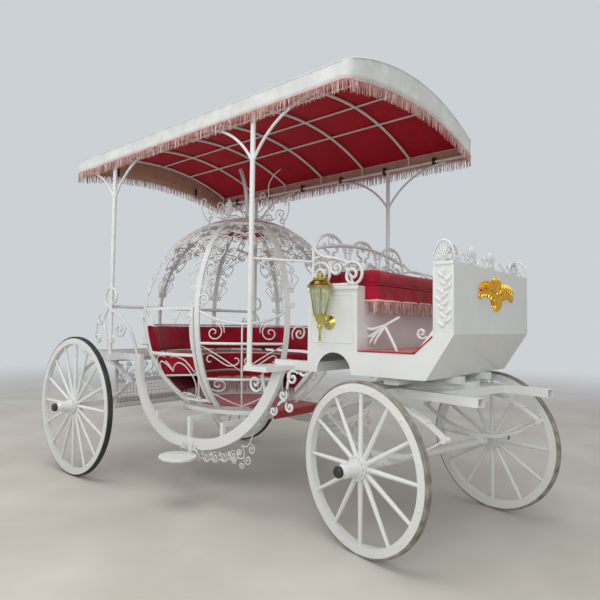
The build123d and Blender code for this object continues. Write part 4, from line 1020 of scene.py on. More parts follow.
# turned outlines are (radius, height)
FLOOR_CARPET = ((0.0, 0.609), (0.12, 0.6095), (0.24, 0.609), (0.325, 0.609), (0.336, 0.607), (0.339, 0.6))
CAP_LINING = ((0.0, 1.966), (0.06, 1.963), (0.11, 1.956), (0.142, 1.948), (0.15, 1.951), (0.146, 1.961),
              (0.06, 1.976), (0.0, 1.978))
EDGE_BACK, EDGE_FLAT, EDGE_HANG_X, EDGE_HEIGHT = 1.335, 0.236, 1.584, 0.604
WELL_BACK, WELL_FLAT, WELL_HEIGHT = 2.494, 0.344, 1.0765
DASH_SLOPE = (0.745, 0.667)


def folded(name, columns, rows, reach, half, bend, pile_mm, offset=0.0):
    """A carpet laid forwards over a reach, its line bent by a function of the distance."""
    bm = bmesh.new()
    bmesh.ops.create_grid(bm, x_segments=columns, y_segments=rows, size=1.0)
    for vertex in bm.verts:
        x, z = bend((vertex.co.x + 1) / 2 * reach)
        vertex.co = (x, vertex.co.y * half, z)
    strip = from_bmesh(bm, name)
    thicken(strip, "Pile", pile_mm, offset)
    return put(strip, carpet_red(), slot="carpet")


def over_edge(reach):
    """The line of the carpet that runs off the cage floor and hangs over its front edge."""
    if reach < EDGE_FLAT:
        return EDGE_BACK + reach, EDGE_HEIGHT
    return EDGE_HANG_X, EDGE_HEIGHT - (reach - EDGE_FLAT)


def up_slope(reach):
    """The line of the carpet that runs over the footwell's floor and up the slope to the dash."""
    if reach < WELL_FLAT:
        return WELL_BACK + reach, WELL_HEIGHT
    return (WELL_BACK + WELL_FLAT + (reach - WELL_FLAT) * DASH_SLOPE[0],
            WELL_HEIGHT + (reach - WELL_FLAT) * DASH_SLOPE[1])


class CARRIAGE_OT_carpet(bpy.types.Operator):
    """Lays the carpets on the cage floor and in the footwell, and lines the dome"""

    bl_idname = "carriage.carpet"
    bl_label = "Carpet and lining"

    def execute(self, context):
        bm = bmesh.new()
        turned(bm, FLOOR_CARPET, CAGE_AXIS, steps=72)
        carpet = put(from_bmesh(bm, "floor_carpet"), carpet_red(), slot="carpet", stands_for=("carpet",))
        strip = folded("floor_edge_carpet", 24, 44, 0.29, 0.262, over_edge, 5.0, 1.0)
        bm = bmesh.new()
        turned(bm, CAP_LINING, CAGE_AXIS, steps=40)
        put(from_bmesh(bm, "cap_lining"), upholstery_red(), slot="red_upholstery")
        strip = folded("footwell_carpet", 16, 24, 0.478, 0.578, up_slope, 7.0)
        return {"FINISHED"}


class CARRIAGE_OT_driver_seat(bpy.types.Operator):
    """Sews the driver's cushion with its piping, skirt and fringe"""

    bl_idname = "carriage.driver_seat"
    bl_label = "Driver's seat"

    def execute(self, context):
        back, front, half, low, top = 2.176, 2.576, 0.497, 1.444, 1.524
        overhang, drop, fringe_drop = 2.496, 0.084, 0.074
        bm = bmesh.new()
        block(bm, ((back + front) / 2, 0.0, (low + top) / 2), (front - back, 2 * half, top - low))
        chamfer(bm, bm.edges, 0.022, 3)
        padded_cover(bm, "driver_cushion_cover", "driver_cushion", 8 * MM, 14 * MM)
        run = [Vector((x, y, low)) for x, y in ((overhang, -half), (front, -half), (front, half),
                                                (overhang, half))]
        cord_along("driver_cushion_piping", [p + Vector((0.004, 0, 0.004)) for p in run], 4.0 * MM,
                   upholstery_red())
        skirt, length = hung("driver_skirt", [p - Vector((0.008, 0, 0.004)) for p in run], drop, 0.004, 0.17)
        hem = [p - Vector((0.008, 0, 0.086)) for p in run]
        gimp = cord_along("driver_skirt_gimp", hem, context.scene.carriage_sizes.piping * 0.9, piping_pink())
        fringe = strands("driver_fringe", hem, fringe_drop, 4.0 * MM, 9.0 * MM, seed=5)
        return {"FINISHED"}


RIB_FIRST, RIB_PITCH = 22.5, 45.0
# half of the scrolls along a rib: places are (off the rib, along it above the belt)
RIB_SCROLLS = (
    # start, end, turns at the start, turns at the end, bend between them
    ((0.048, 0.840), (0.050, 0.715), 1.25, 1.25, 0.4),
    ((0.120, 0.830), (0.118, 0.730), -1.25, -1.25, 0.4),
    ((0.030, 0.700), (0.105, 0.615), 1.2, -1.2, 0.2),
    ((0.160, 0.700), (0.195, 0.610), 1.1, 1.1, 0.6),
    ((0.046, 0.570), (0.040, 0.455), 1.25, 1.25, 0.5),
    ((0.100, 0.520), (0.082, 0.430), -1.2, -1.2, 0.5),
    ((0.028, 0.440), (0.062, 0.345), 1.1, -1.2, 0.2),
    ((0.040, 0.185), (0.036, 0.085), 1.25, 1.25, 0.5),
)
RIB_LOOPS = (
    # off the rib at the widest, top, bottom
    (0.056, 0.345, 0.165),
    (0.108, 0.325, 0.185),
)
BETWEEN_RIBS = (
    ((0.040, 0.800), (0.046, 0.715), -1.25, -1.25, 0.5),
    ((0.022, 0.690), (0.060, 0.620), 1.2, -1.2, 0.3),
)
FAN_APEX, FAN_REACH = 0.440, 0.300
FAN_SPREAD = (-46.0, -33.0, -20.0, -7.0, 7.0, 20.0, 33.0, 46.0)
FAN_ARCS = (0.62, 1.0)


class CARRIAGE_OT_cage_scrolls(bpy.types.Operator):
    """Bends the scrolls that follow the cage's ribs and the fans under its cap"""

    bl_idname = "carriage.cage_scrolls"
    bl_label = "Cage scrolls"

    def execute(self, context):
        sizes = context.scene.carriage_sizes
        thick, fine = [], []
        for rib in range(RIBS):
            place, midway = on_cage(RIB_FIRST + RIB_PITCH * rib), on_cage(RIB_PITCH * rib)
            for mirror in (False, True):
                thick += [mapped(place, scroll(*row), mirror) for row in RIB_SCROLLS]
                for off, top, low in RIB_LOOPS:
                    middle = (top + low) / 2
                    loop = through(((0.012, top), (off * 0.75, top - 0.02), (off, middle + 0.02),
                                    (off * 0.7, low + 0.045), (off * 0.35, low), (off * 0.3, low + 0.05),
                                    (off * 0.62, middle + 0.03)), 4)
                    fine.append(mapped(place, loop, mirror))
            for share in FAN_ARCS:
                tips = [Vector((share * FAN_REACH * sin(radians(a)),
                                FAN_APEX + share * FAN_REACH * cos(radians(a)))) for a in FAN_SPREAD]
                fine += [mapped(place, arc_run(a, b, 0.016 * share, 6)) for a, b in zip(tips, tips[1:])]
            fine += [mapped(place, arc_run((0.0, FAN_APEX), tip, 0.008, 6)) for tip in tips]
            for row in BETWEEN_RIBS:
                thick += both(midway, scroll(*row))
        bars("cage_scrolls", thick, sizes.scroll_bar * 1.05)
        bars("cage_fans", fine, sizes.fine_bar * 1.1, 0)
        return {"FINISHED"}


class CARRIAGE_OT_panel_scrolls(bpy.types.Operator):
    """Bends the heart in the door and the scrolls in the quarter panels"""

    bl_idname = "carriage.panel_scrolls"
    bl_label = "Door and quarter scrolls"

    def execute(self, context):
        sizes = context.scene.carriage_sizes
        door = on_cage(-90.0)
        heart = through(((0.0, -0.416), (0.045, -0.362), (0.103, -0.338), (0.152, -0.366), (0.174, -0.440),
                         (0.164, -0.510), (0.119, -0.592), (0.059, -0.655), (0.006, -0.700)))
        over = through(((0.03, -0.300), (0.083, -0.290), (0.155, -0.312), (0.190, -0.360), (0.212, -0.420)))
        drop = scroll((0.018, -0.640), (0.095, -0.660), -0.9, 0.8, 0.4)
        lifted = through(((0.0, -0.416), (-0.012, -0.370), (-0.045, -0.330)))
        corner = scroll((0.205, 0.010), (0.120, -0.030), 1.0, -0.9, 0.4)
        bars("door_scrolls", [*both(door, heart), *both(door, over), *both(door, drop), mapped(door, lifted),
                              *both(door, corner)], sizes.scroll_bar, body=DOOR)
        latch = on_cage(-72.0, skin=0.006)
        bars("door_latch", [mapped(latch, ((0.018, -0.065), (0.018, -0.15), (0.018, -0.235)))], 13.0 * MM,
             taper=0.9, body=DOOR)
        bars("door_latch_curl", [mapped(latch, volute((0.008, -0.018), (0.018, -0.065), 0.035, 1.6))],
             7.0 * MM, taper=0.8, body=DOOR)

        quarter = (
            volute((0.191, -0.112), (0.275, -0.030), 0.072, -1.6) + [Vector((0.265, -0.020))],
            through(((0.119, -0.112), (0.128, -0.062), (0.175, -0.034), (0.232, -0.022))),
            arc_run((0.280, -0.205), (0.0, -0.396), -0.012),
            volute((0.163, -0.511), (0.235, -0.470), 0.078, 1.7),
            through(((0.235, -0.581), (0.140, -0.650), (0.020, -0.742), (0.0, -0.756))),
            scroll((0.045, -0.300), (0.215, -0.310), 0.6, -0.6, 0.5))
        bars("quarter_scrolls", [line for side in SIDES.values() for path in quarter
                                 for line in both(on_cage(side * 45.0), path)], sizes.scroll_bar * 0.9)

        # bold volutes beside the ribs: above the tie bar, and on the open front
        paths = []
        for side in SIDES.values():
            beside, before = on_cage(side * 67.5, skin=0.008), on_cage(side * 22.5, skin=0.004)
            for place, row in ((beside, ((0.048, 0.108), (0.004, 0.035), 0.046, 1.8)),
                               (before, ((0.100, -0.112), (0.010, -0.190), 0.064, 1.8)),
                               (before, ((0.070, -0.330), (0.008, -0.260), 0.046, -1.6))):
                paths.append(mapped(place, volute(*row), side > 0))
        bars("rib_volutes", paths, 7.5 * MM)
        return {"FINISHED"}


# scrolls in the upright planes at the carriage's sides: places are (along, height)
HOOP_VOLUTES = (
    # eye, outer point, radius, turns
    ((1.800, 0.853), (1.860, 0.925), 0.066, 1.7),
    ((1.918, 0.806), (1.880, 0.800), 0.036, 1.4),
    ((2.104, 0.905), (2.154, 0.939), 0.048, -1.5),
    ((2.030, 0.800), (2.062, 0.835), 0.034, 1.4),
    ((2.085, 0.735), (2.052, 0.770), 0.034, -1.4),
    ((1.955, 0.700), (1.990, 0.735), 0.032, 1.4),
)
HOOP_LINKS = (
    ((1.860, 0.925), (1.874, 0.849), (1.880, 0.800)),
    ((2.154, 0.939), (2.190, 0.925), (2.215, 0.940)),
    ((2.062, 0.835), (2.070, 0.880), (2.085, 0.938)),
    ((2.052, 0.770), (2.020, 0.760), (1.990, 0.735)),
)
HOOP_Y, POST_Y = 0.668, 0.800
HOOP_FOOT_CURLS = (
    ((1.672, 0.402), (1.690, 0.455), 0.046, 1.7),
    ((1.745, 0.372), (1.716, 0.395), 0.036, -1.6),
    ((1.775, 0.440), (1.760, 0.480), 0.034, 1.6),
    ((1.690, 0.330), (1.716, 0.345), 0.025, 1.5),
    ((1.625, 0.345), (1.640, 0.375), 0.026, -1.5),
)
HOOP_FOOT_LINK = ((1.690, 0.455), (1.730, 0.450), (1.760, 0.480), (1.790, 0.540))
LACE_START, LACE_PITCH, LACE_REPEATS = 1.262, 0.088, 5
# C-scrolls on both sides of the rear post's foot, its volutes, and the runs that join them
POST_SCROLLS = (
    ((0.313, 1.503), (0.262, 1.470), (0.238, 1.419), (0.250, 1.365), (0.300, 1.338)),
    ((0.322, 1.495), (0.375, 1.470), (0.398, 1.430), (0.385, 1.385), (0.340, 1.368)),
)
POST_VOLUTES = (
    ((0.176, 1.236), (0.172, 1.282), 0.046, -1.5),
    ((0.142, 1.082), (0.098, 1.098), 0.042, 1.5),
    ((0.352, 1.094), (0.310, 1.120), 0.040, -1.4),
)
POST_LINKS = (
    ((0.130, 1.240), (0.112, 1.190), (0.110, 1.140), (0.098, 1.098)),
    ((0.222, 1.236), (0.240, 1.180), (0.265, 1.110), (0.290, 1.000)),
    ((0.300, 1.338), (0.262, 1.310), (0.235, 1.270), (0.222, 1.236)),
)
# the quarter arm from the post down to the hoop's top: (x, off the middle, height)
QUARTER_ARM = ((0.339, 0.800, 1.315), (0.410, 0.765, 1.262), (0.470, 0.722, 1.165), (0.492, 0.690, 1.060),
               (0.495, 0.668, 0.965))
SKIRT_COLUMNS, SKIRT_ROWS, SKIRT_LACE_ROWS = 42, 14, 6
# the step: its middle, half sizes and height, and the strap that carries it
STEP_X, STEP_OUT, STEP_HALF_X, STEP_HALF_Y, STEP_Z = 1.228, 0.134, 0.135, 0.118, 0.322
# the plate's thickness
STEP_THICK = 0.018
STRAP_X, STRAP_FOOT = 1.190, 0.320


def corners(node):
    """A node's lowest and highest corners, from the ground under the rear axle."""
    return [Vector(corner) - REAR_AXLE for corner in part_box(node)]


def hoop_lace(hoop):
    """The lace under the hoop's foot, from the step forward."""
    paths = []
    for i in range(LACE_REPEATS):
        x = LACE_START + LACE_PITCH * i
        # the hoop's lower edge rises towards the front
        base = 0.358 + 0.30 * max(0.0, x - 1.25) ** 1.6
        paths += volutes(hoop, (((x, base - 0.040), (x + 0.02, base), 0.034, 1.6 if i % 2 else -1.6),
                                ((x + 0.044, base - 0.018), (x + 0.03, base), 0.017, 1.4)))
        swag = through(((x - 0.03, base - 0.060), (x, base - 0.076), (x + 0.03, base - 0.058),
                        (x + 0.048, base - 0.044), (x + 0.066, base - 0.056)), 4)
        paths.append(mapped(hoop, swag))
    return paths + volutes(hoop, HOOP_FOOT_CURLS) + runs(hoop, (HOOP_FOOT_LINK,))


def rear_skirt(bar):
    """The perforated sheet behind the cage, with open lace along its top."""
    low, high = corners("rear_skirt")
    x, half, top = (low.x + high.x) / 2, high.y, high.z
    pitch_y, pitch_z = 2 * half / SKIRT_COLUMNS, (top - low.z) / SKIRT_ROWS
    bm = bmesh.new()
    bmesh.ops.create_grid(bm, x_segments=SKIRT_COLUMNS, y_segments=SKIRT_ROWS, size=1.0)
    for vertex in bm.verts:
        vertex.co = (x, vertex.co.x * half, top - (1 - vertex.co.y) / 2 * (top - low.z))
    lace, holes = [], []
    for face in bm.faces:
        middle = face.calc_center_median()
        row, column = int((top - middle.z) / pitch_z), int((middle.y + half) / pitch_y)
        if column not in (0, SKIRT_COLUMNS - 1) and row not in (0, SKIRT_LACE_ROWS, SKIRT_ROWS - 1):
            (lace if row < SKIRT_LACE_ROWS else holes).append(face)
    bmesh.ops.inset_individual(bm, faces=holes, thickness=0.0068, depth=0.0)
    bmesh.ops.delete(bm, geom=lace + holes, context="FACES")
    panel = from_bmesh(bm, "rear_skirt_panel")
    thicken(panel, "Sheet thickness", 3.0)
    put(panel, stands_for=("rear_skirt",))
    paths = []
    skirt = cross_plane(x)
    upper, lower = top - pitch_z - 0.030, top - SKIRT_LACE_ROWS * pitch_z - 0.002
    for i in range(7):
        y = 0.012 + 0.082 * i
        for path in (scroll((y, upper), (y + 0.040, lower + 0.030), 1.25, -1.25, 0.2),
                     scroll((y + 0.060, upper - 0.01), (y + 0.066, lower + 0.040), -1.2, -1.2, 0.5),
                     arc_run((y - 0.02, lower), (y - 0.02 + 0.055, lower), 0.03, 8),
                     arc_run((y + 0.02, lower), (y + 0.02 + 0.055, lower), 0.03, 8)):
            paths += both(skirt, path)
    bars("skirt_scrolls", paths, bar, 0)


def step(side_name, side, bar):
    """A step: its lobed plate, the strap that carries it and the curls beside the strap."""
    low, high = corners(f"step_{side_name}")
    face = min(abs(low.y), abs(high.y))
    bm = bmesh.new()
    bmesh.ops.create_circle(bm, cap_ends=True, segments=48, radius=1.0)
    for vertex in bm.verts:
        turn = atan2(vertex.co.y, vertex.co.x)
        lobe = 1.0 + 0.035 * cos(turn * 12)
        vertex.co = (STEP_X + STEP_HALF_X * lobe * cos(turn),
                     side * (face + STEP_OUT) + STEP_HALF_Y * lobe * sin(turn), STEP_Z)
    made = bmesh.ops.extrude_face_region(bm, geom=list(bm.faces))["geom"]
    bmesh.ops.translate(bm, vec=UP * STEP_THICK,
                        verts=[v for v in made if isinstance(v, bmesh.types.BMVert)])
    chamfer(bm, [edge for edge in bm.edges if abs(edge.verts[0].co.z - edge.verts[1].co.z) < 1e-6],
            4.0 * MM, 2)
    strap = block(bm, (STRAP_X, side * (face + 0.004), (STRAP_FOOT + high.z) / 2),
                  (0.040, 0.008, high.z - STRAP_FOOT))
    chamfer(bm, {edge for v in strap for edge in v.link_edges}, 1.5 * MM)
    put(from_bmesh(bm, f"step_plate_{side_name}"), stands_for=(f"step_{side_name}",))
    bracket = side_plane(side * (face + 0.012))
    curls = []
    for lean in (-1, 1):
        curl = volute((STRAP_X + lean * 0.052, 0.372), (STRAP_X + lean * 0.02, 0.345), 0.030, 1.5 * lean)
        sprig = arc_run((STRAP_X + lean * 0.028, 0.350), (STRAP_X + lean * 0.10, 0.340), lean * 0.012, 8)
        curls += [mapped(bracket, curl), mapped(bracket, sprig)]
    bars(f"step_curls_{side_name}", curls, bar)


class CARRIAGE_OT_side_scrolls(bpy.types.Operator):
    """Bends the scrolls on the hoops, the rear posts, the quarter arms, the skirt and the steps"""

    bl_idname = "carriage.side_scrolls"
    bl_label = "Side scrolls"

    def execute(self, context):
        sizes = context.scene.carriage_sizes
        thick, fine, heavy, foot = [], [], [], []
        for side in SIDES.values():
            hoop, post = side_plane(side * HOOP_Y), side_plane(side * POST_Y)
            thick += volutes(hoop, HOOP_VOLUTES) + runs(hoop, HOOP_LINKS)
            fine += hoop_lace(hoop)
            foot += runs(post, POST_SCROLLS) + volutes(post, POST_VOLUTES) + runs(post, POST_LINKS)
            arm = [Vector((x, side * y, z)) for x, y, z in QUARTER_ARM]
            heavy.append([a.lerp(b, i / 4) for a, b in zip(arm, arm[1:]) for i in range(4)] + [arm[-1]])
            tilt = on_plane((0.379, side * 0.755, 1.162), (1, side * -0.15, 0))
            foot.append(mapped(tilt, volute((0.0, 0.0), (0.048, 0.062), 0.066, 1.6)))
        bars("side_scrolls", thick, sizes.scroll_bar * 1.8)
        bars("post_foot_scrolls", foot, 9.5 * MM, taper=0.75)
        bars("quarter_arms", heavy, 12.0 * MM, 2, 0.9)
        bars("hoop_lace", fine, sizes.fine_bar * 1.3, 0)
        rear_skirt(sizes.fine_bar * 1.3)
        for side_name, side in SIDES.items():
            step(side_name, side, sizes.scroll_bar)
        return {"FINISHED"}


RAIL_ARCHES = (-0.372, 0.0, 0.372)
RAIL_INNER = (
    # start, end, turns at the start, turns at the end, bend; places are (off the arch's middle, height)
    ((0.066, 1.712), (0.030, 1.660), -1.35, 1.2, 0.3),
    ((0.022, 1.560), (0.100, 1.515), 1.2, -1.2, 0.2),
)
RAIL_X, RAIL_Y = 2.151, 0.553
# eye, outer point, radius, turns of the volutes in the rail's arms
RAIL_ARM = (
    ((2.444, 1.503), (2.375, 1.565), 0.080, 1.9),
    ((2.332, 1.548), (2.300, 1.600), 0.046, -1.6),
    ((2.220, 1.513), (2.165, 1.590), 0.078, 1.9),
)
RAIL_ARM_TOP = ((2.155, 1.690), (2.190, 1.650), (2.250, 1.618), (2.330, 1.604), (2.420, 1.574))


class CARRIAGE_OT_rail_scrolls(bpy.types.Operator):
    """Bends the rings, hearts and scrolls of the driver's seat rail"""

    bl_idname = "carriage.rail_scrolls"
    bl_label = "Seat rail scrolls"

    def execute(self, context):
        bold, thin = [], []
        back = cross_plane(RAIL_X)
        loop = [(0.166 * cos(radians(a)), 1.640 + 0.145 * sin(radians(a))) for a in range(-52, 233, 12)]
        ring = [(0.026 * cos(tau * i / 20), 1.748 + 0.026 * sin(tau * i / 20)) for i in range(21)]
        for middle in RAIL_ARCHES:
            arch = on_plane((RAIL_X, middle, 0.0), (0, 1, 0))
            bold.append(mapped(arch, loop))
            bold += both(arch, volute((0.078, 1.600), (0.115, 1.560), 0.058, -1.7))
            thin += [mapped(arch, scroll(*row), mirror) for mirror in (False, True) for row in RAIL_INNER]
            thin.append(mapped(arch, ring))
        for y in (-0.186, 0.186):
            thin += volutes(back, [((y + 0.026 * lean, 1.716), (y, 1.690), 0.030, -1.3 * lean)
                                   for lean in (-1, 1)])
        for side in SIDES.values():
            arm = side_plane(side * RAIL_Y)
            bold += volutes(arm, RAIL_ARM) + runs(arm, (RAIL_ARM_TOP,))
            # a tie from the front post to the rail
            bold.append([Vector((1.875, side * 0.797, 1.613)), Vector((RAIL_X, side * RAIL_Y, 1.597))])
        bars("rail_scrolls", bold, 9.5 * MM, taper=0.8)
        bars("rail_fine_scrolls", thin, 6.5 * MM)
        return {"FINISHED"}


def palmette(place, centre, radius, rise):
    """A shell of petals under a round arch, with a curl at each foot."""
    cx, cz = centre
    paths = [[(cx + radius * cos(pi * i / 16), cz + rise * sin(pi * i / 16)) for i in range(17)]]
    for i in range(7):
        turn = radians(22 + 136 * i / 6)
        tip = Vector((cx + radius * 0.80 * cos(turn), cz + rise * 0.82 * sin(turn)))
        foot = Vector((cx + radius * 0.22 * cos(turn), cz + rise * 0.25 * sin(turn)))
        paths.append([foot, foot.lerp(tip, 0.5), tip, foot.lerp(tip, 0.8)])
    for sign in (-1, 1):
        eye = (cx + sign * radius * 0.55, cz + rise * 0.12)
        paths.append(volute(eye, (cx, cz), radius * 0.24, 1.3 * sign, 12))
    return [mapped(place, path) for path in paths]


def leaf(bm, at, along, face, length, width, height):
    """A cast leaf or bead: a squashed ball with its length, width and height."""
    along, face = Vector(along).normalized(), Vector(face).normalized()
    turn = Matrix((along, face.cross(along), face)).transposed().to_4x4()
    ball(bm, Matrix.Translation(at) @ turn @ Matrix.Diagonal((length / 2, width / 2, height, 1.0)),
         segments=10, rings=8)


def crosswise(turn):
    """An upright direction across the carriage, at a turn in degrees."""
    return Vector((0.0, *ray(radians(turn))))


DASH_X, WING_X, WING_Y = 2.996, 2.997, 0.577
GILT_MIDDLE = Vector((3.052, 0.0, 1.404))
GILT_FANS = (50, 70, 90, 110, 130, 215, 233, 252, 270, 288, 307, 325)
GILT_BRANCH = ((0.036, 0.000), (0.085, 0.016), (0.150, 0.020), (0.205, 0.014), (0.238, 0.002))


class CARRIAGE_OT_dash_trim(bpy.types.Operator):
    """Casts the dash's palmettes, finials, leaf reliefs and gilt ornament"""

    bl_idname = "carriage.dash_trim"
    bl_label = "Dash trim"

    def execute(self, context):
        paths = []
        front = cross_plane(DASH_X)
        for side in SIDES.values():
            paths += palmette(side_plane(side * 0.572), (WING_X, 1.545), 0.056, 0.100)
            paths += palmette(front, (side * 0.470, 1.545), 0.088, 0.088)
            tail = scroll((side * 0.37, 1.560), (side * 0.27, 1.556), side * -0.8, side * 0.8)
            paths.append(mapped(front, tail))
        bars("dash_palmettes", paths, 5.6 * MM)

        white = bmesh.new()
        ahead = Vector((1, 0, 0))
        for y in (-0.215, 0.066):
            for i in range(5):
                out = crosswise(30 + 30 * i)
                leaf(white, Vector((DASH_X, y, 1.588)) + out * 0.034, out, ahead, 0.072, 0.026, 0.011)
            leaf(white, Vector((DASH_X, y, 1.574)), (0, 1, 0), ahead, 0.070, 0.040, 0.013)
        for side in SIDES.values():
            face = Vector((0, side, 0))
            stem = [Vector((WING_X + 0.012 * sin(9.0 * i / 12 * pi / 3), side * WING_Y,
                            1.225 + 0.245 * i / 12)) for i in range(13)]
            for i, at in enumerate(stem):
                lean = 1 if i % 2 else -1
                leaf(white, at + Vector((0.016 * lean, 0, 0.004)), (0.75 * lean, 0, 0.7), face,
                     0.046, 0.019, 0.007)
                leaf(white, at, UP, face, 0.030, 0.010, 0.006)
            leaf(white, stem[-1] + UP * 0.022, UP, face, 0.040, 0.020, 0.006)
        put(from_bmesh(white, "dash_leaves"))

        # the gilt piece: a rosette, a fan of petals above and below it, and two leafy branches that
        # end in scrolls
        gold = bmesh.new()
        for i in range(10):
            out = crosswise(36 * i)
            leaf(gold, GILT_MIDDLE + out * 0.030, out, ahead, 0.044, 0.021, 0.012)
        leaf(gold, GILT_MIDDLE + ahead * 0.004, (0, 1, 0), ahead, 0.030, 0.030, 0.016)
        for turn in GILT_FANS:
            out = crosswise(turn)
            leaf(gold, GILT_MIDDLE + out * 0.068, out, ahead, 0.066, 0.022, 0.013)
        branches = []
        for side in SIDES.values():
            spine = through(GILT_BRANCH, 6)
            for i in range(1, len(spine), 4):
                at = GILT_MIDDLE + Vector((0.0, side * spine[i].x, spine[i].y))
                reach = 0.080 * (1 - 0.42 * i / len(spine))
                for lean, share in ((-1.1, 0.8), (-0.45, 0.9), (0.45, 0.9), (1.1, 0.8)):
                    out = Vector((0.0, side * cos(lean), sin(lean)))
                    leaf(gold, at + out * reach * share * 0.5, out, ahead, reach * share, reach * 0.21, 0.016)
            branches += [[GILT_MIDDLE + Vector((0.004, side * p.x, p.y)) for p in path]
                         for path in (spine, volute((0.252, -0.018), (0.238, 0.002), 0.022, -1.4, 14))]
        put(from_bmesh(gold, "gilt_ornament"), gilt(), slot="brass")
        bars("gilt_branches", branches, 5.0 * MM, material=gilt(), slot="brass")
        return {"FINISHED"}


LAMP_X, LAMP_Y, LAMP_BOSS = 2.30, 0.665, 1.232
LAMP_METAL = (
    # (radius, height) outlines of the lamp's turned brass, from the tail up
    ((0.0, 1.122), (0.005, 1.125), (0.007, 1.134), (0.006, 1.186), (0.011, 1.196), (0.016, 1.206),
     (0.010, 1.217), (0.018, 1.233), (0.024, 1.243), (0.030, 1.262), (0.039, 1.269), (0.040, 1.276),
     (0.036, 1.279), (0.0, 1.277)),
    ((0.0, 1.424), (0.064, 1.426), (0.077, 1.430), (0.078, 1.436), (0.070, 1.442), (0.057, 1.460),
     (0.045, 1.469), (0.040, 1.472), (0.041, 1.480), (0.024, 1.484), (0.012, 1.487), (0.014, 1.492),
     (0.020, 1.497), (0.018, 1.504), (0.0, 1.508)),
)
LAMP_BOSS_PLATE = ((0.0, 0.0), (0.042, 0.0), (0.042, 0.004), (0.036, 0.009), (0.020, 0.012), (0.014, 0.018),
                   (0.009, 0.024), (0.008, 0.084), (0.0, 0.088))
LAMP_GLASS = ((0.0, 1.275), (0.034, 1.275), (0.035, 1.277), (0.061, 1.427), (0.0, 1.428))
LAMP_CANDLE = ((0.0, 1.280), (0.010, 1.280), (0.010, 1.360), (0.0, 1.362))
LAMP_REED = ((0.037, 1.272), (0.043, 1.310), (0.055, 1.380), (0.063, 1.428))


class CARRIAGE_OT_lamps(bpy.types.Operator):
    """Builds the two carriage lamps: brass crown, lid, reeds and tail round a tapering glass"""

    bl_idname = "carriage.lamps"
    bl_label = "Lamps"

    def execute(self, context):
        count = context.scene.carriage_sizes.lamp_bars
        for side_name, side in SIDES.items():
            centre = Vector((LAMP_X, side * LAMP_Y, 0.0))
            bm = bmesh.new()
            for outline in LAMP_METAL:
                turned(bm, outline, centre, steps=28)
            for i in range(count):
                bead = Vector((*ray(tau * i / count, 0.040), 1.480))
                ball(bm, Matrix.Translation(centre + bead), 5.0 * MM)
            turned(bm, LAMP_BOSS_PLATE, (LAMP_X, side * 0.575, LAMP_BOSS), (0.0, side, 0.0), steps=28)
            put(from_bmesh(bm, f"lamp_metal_{side_name}"), brass(), slot="brass",
                stands_for=(f"lamp_{side_name}",))
            reeds = [[centre + Vector((*ray(tau * (i + 0.5) / count, radius), height))
                      for radius, height in LAMP_REED] for i in range(count)]
            bars(f"lamp_reeds_{side_name}", reeds, 2.2 * MM, taper=1.0, material=brass(), slot="brass")
            for name, outline, steps, material, slot in (
                    ("glass", LAMP_GLASS, 28, lamp_glass(), "brass"),
                    ("candle", LAMP_CANDLE, 16, enamel_white(), "white_enamel")):
                bm = bmesh.new()
                turned(bm, outline, centre, steps=steps)
                put(from_bmesh(bm, f"lamp_{name}_{side_name}"), material, slot=slot)
        return {"FINISHED"}


WHEELS = (
    # wheel, middle at the hub's face, outward direction, rolling radius, spokes
    ("rear_right", (0.0, -0.908, 0.55), (0.0, -1.0, 0.0), 0.55, 16),
    ("rear_left", (0.0, 0.908, 0.55), (0.0, 1.0, 0.0), 0.55, 16),
    ("front_right", (2.541282, -0.608699, 0.459), (-0.21303, -0.977046, 0.0), 0.459, 12),
    ("front_left", (2.806718, 0.608699, 0.459), (0.21303, 0.977046, 0.0), 0.459, 12),
)
HUB_CAP = ((0.026, 0.150), (0.030, 0.150), (0.031, 0.166), (0.026, 0.1735), (0.0, 0.1755))
# (radius, height) of the hub's turned rings, and half the size of their section
HUB_RINGS, RING_HALF_R, RING_HALF_H = ((0.0625, 0.030), (0.0480, 0.040), (0.0365, 0.118)), 0.004, 0.006


class CARRIAGE_OT_wheel_trim(bpy.types.Operator):
    """Adds hub rings, dark hub caps and felloe bolts to the wheels"""

    bl_idname = "carriage.wheel_trim"
    bl_label = "Wheel trim"

    def execute(self, context):
        for name, centre, out, radius, spokes in WHEELS:
            body = f"wheel_body_{name}"
            out, centre = Vector(out), Vector(centre)
            bm = bmesh.new()
            turned(bm, HUB_CAP, centre, out, steps=24)
            put(from_bmesh(bm, f"hub_cap_{name}"), black_iron(), body=body)
            bm = bmesh.new()
            for r, h in HUB_RINGS:
                section = [(r + a * RING_HALF_R, h + b * RING_HALF_H)
                           for a, b in ((-1, -1), (1, -1), (1, 1), (-1, 1))]
                turned(bm, eased(section, 0.003, 2), centre, out, steps=28, closed=True)
            for i in range(spokes):
                turn = tau * (i + 0.5) / spokes
                way = UP * cos(turn) + out.cross(UP) * sin(turn)
                for r, h, size in ((radius - 0.036, 0.022, 0.0075), (0.053, 0.032, 0.0065)):
                    ball(bm, Matrix.Translation(centre + way * r + out * h), size, rings=5)
            put(from_bmesh(bm, f"wheel_beads_{name}"), body=body)
        return {"FINISHED"}


BOX_MOULDINGS = (
    # middle (x, off the middle, height) and size of each strip
    ((2.318, 0.576, 1.429), (0.360, 0.014, 0.022)),
    ((2.315, 0.574, 1.392), (0.300, 0.008, 0.010)),
    ((2.315, 0.574, 1.120), (0.300, 0.008, 0.010)),
    ((2.165, 0.574, 1.256), (0.010, 0.008, 0.282)),
    ((2.465, 0.574, 1.256), (0.010, 0.008, 0.282)),
    ((2.996, 0.574, 1.530), (0.108, 0.012, 0.018)),
    ((2.948, 0.574, 1.360), (0.008, 0.008, 0.330)),
    ((3.044, 0.574, 1.360), (0.008, 0.008, 0.330)),
)
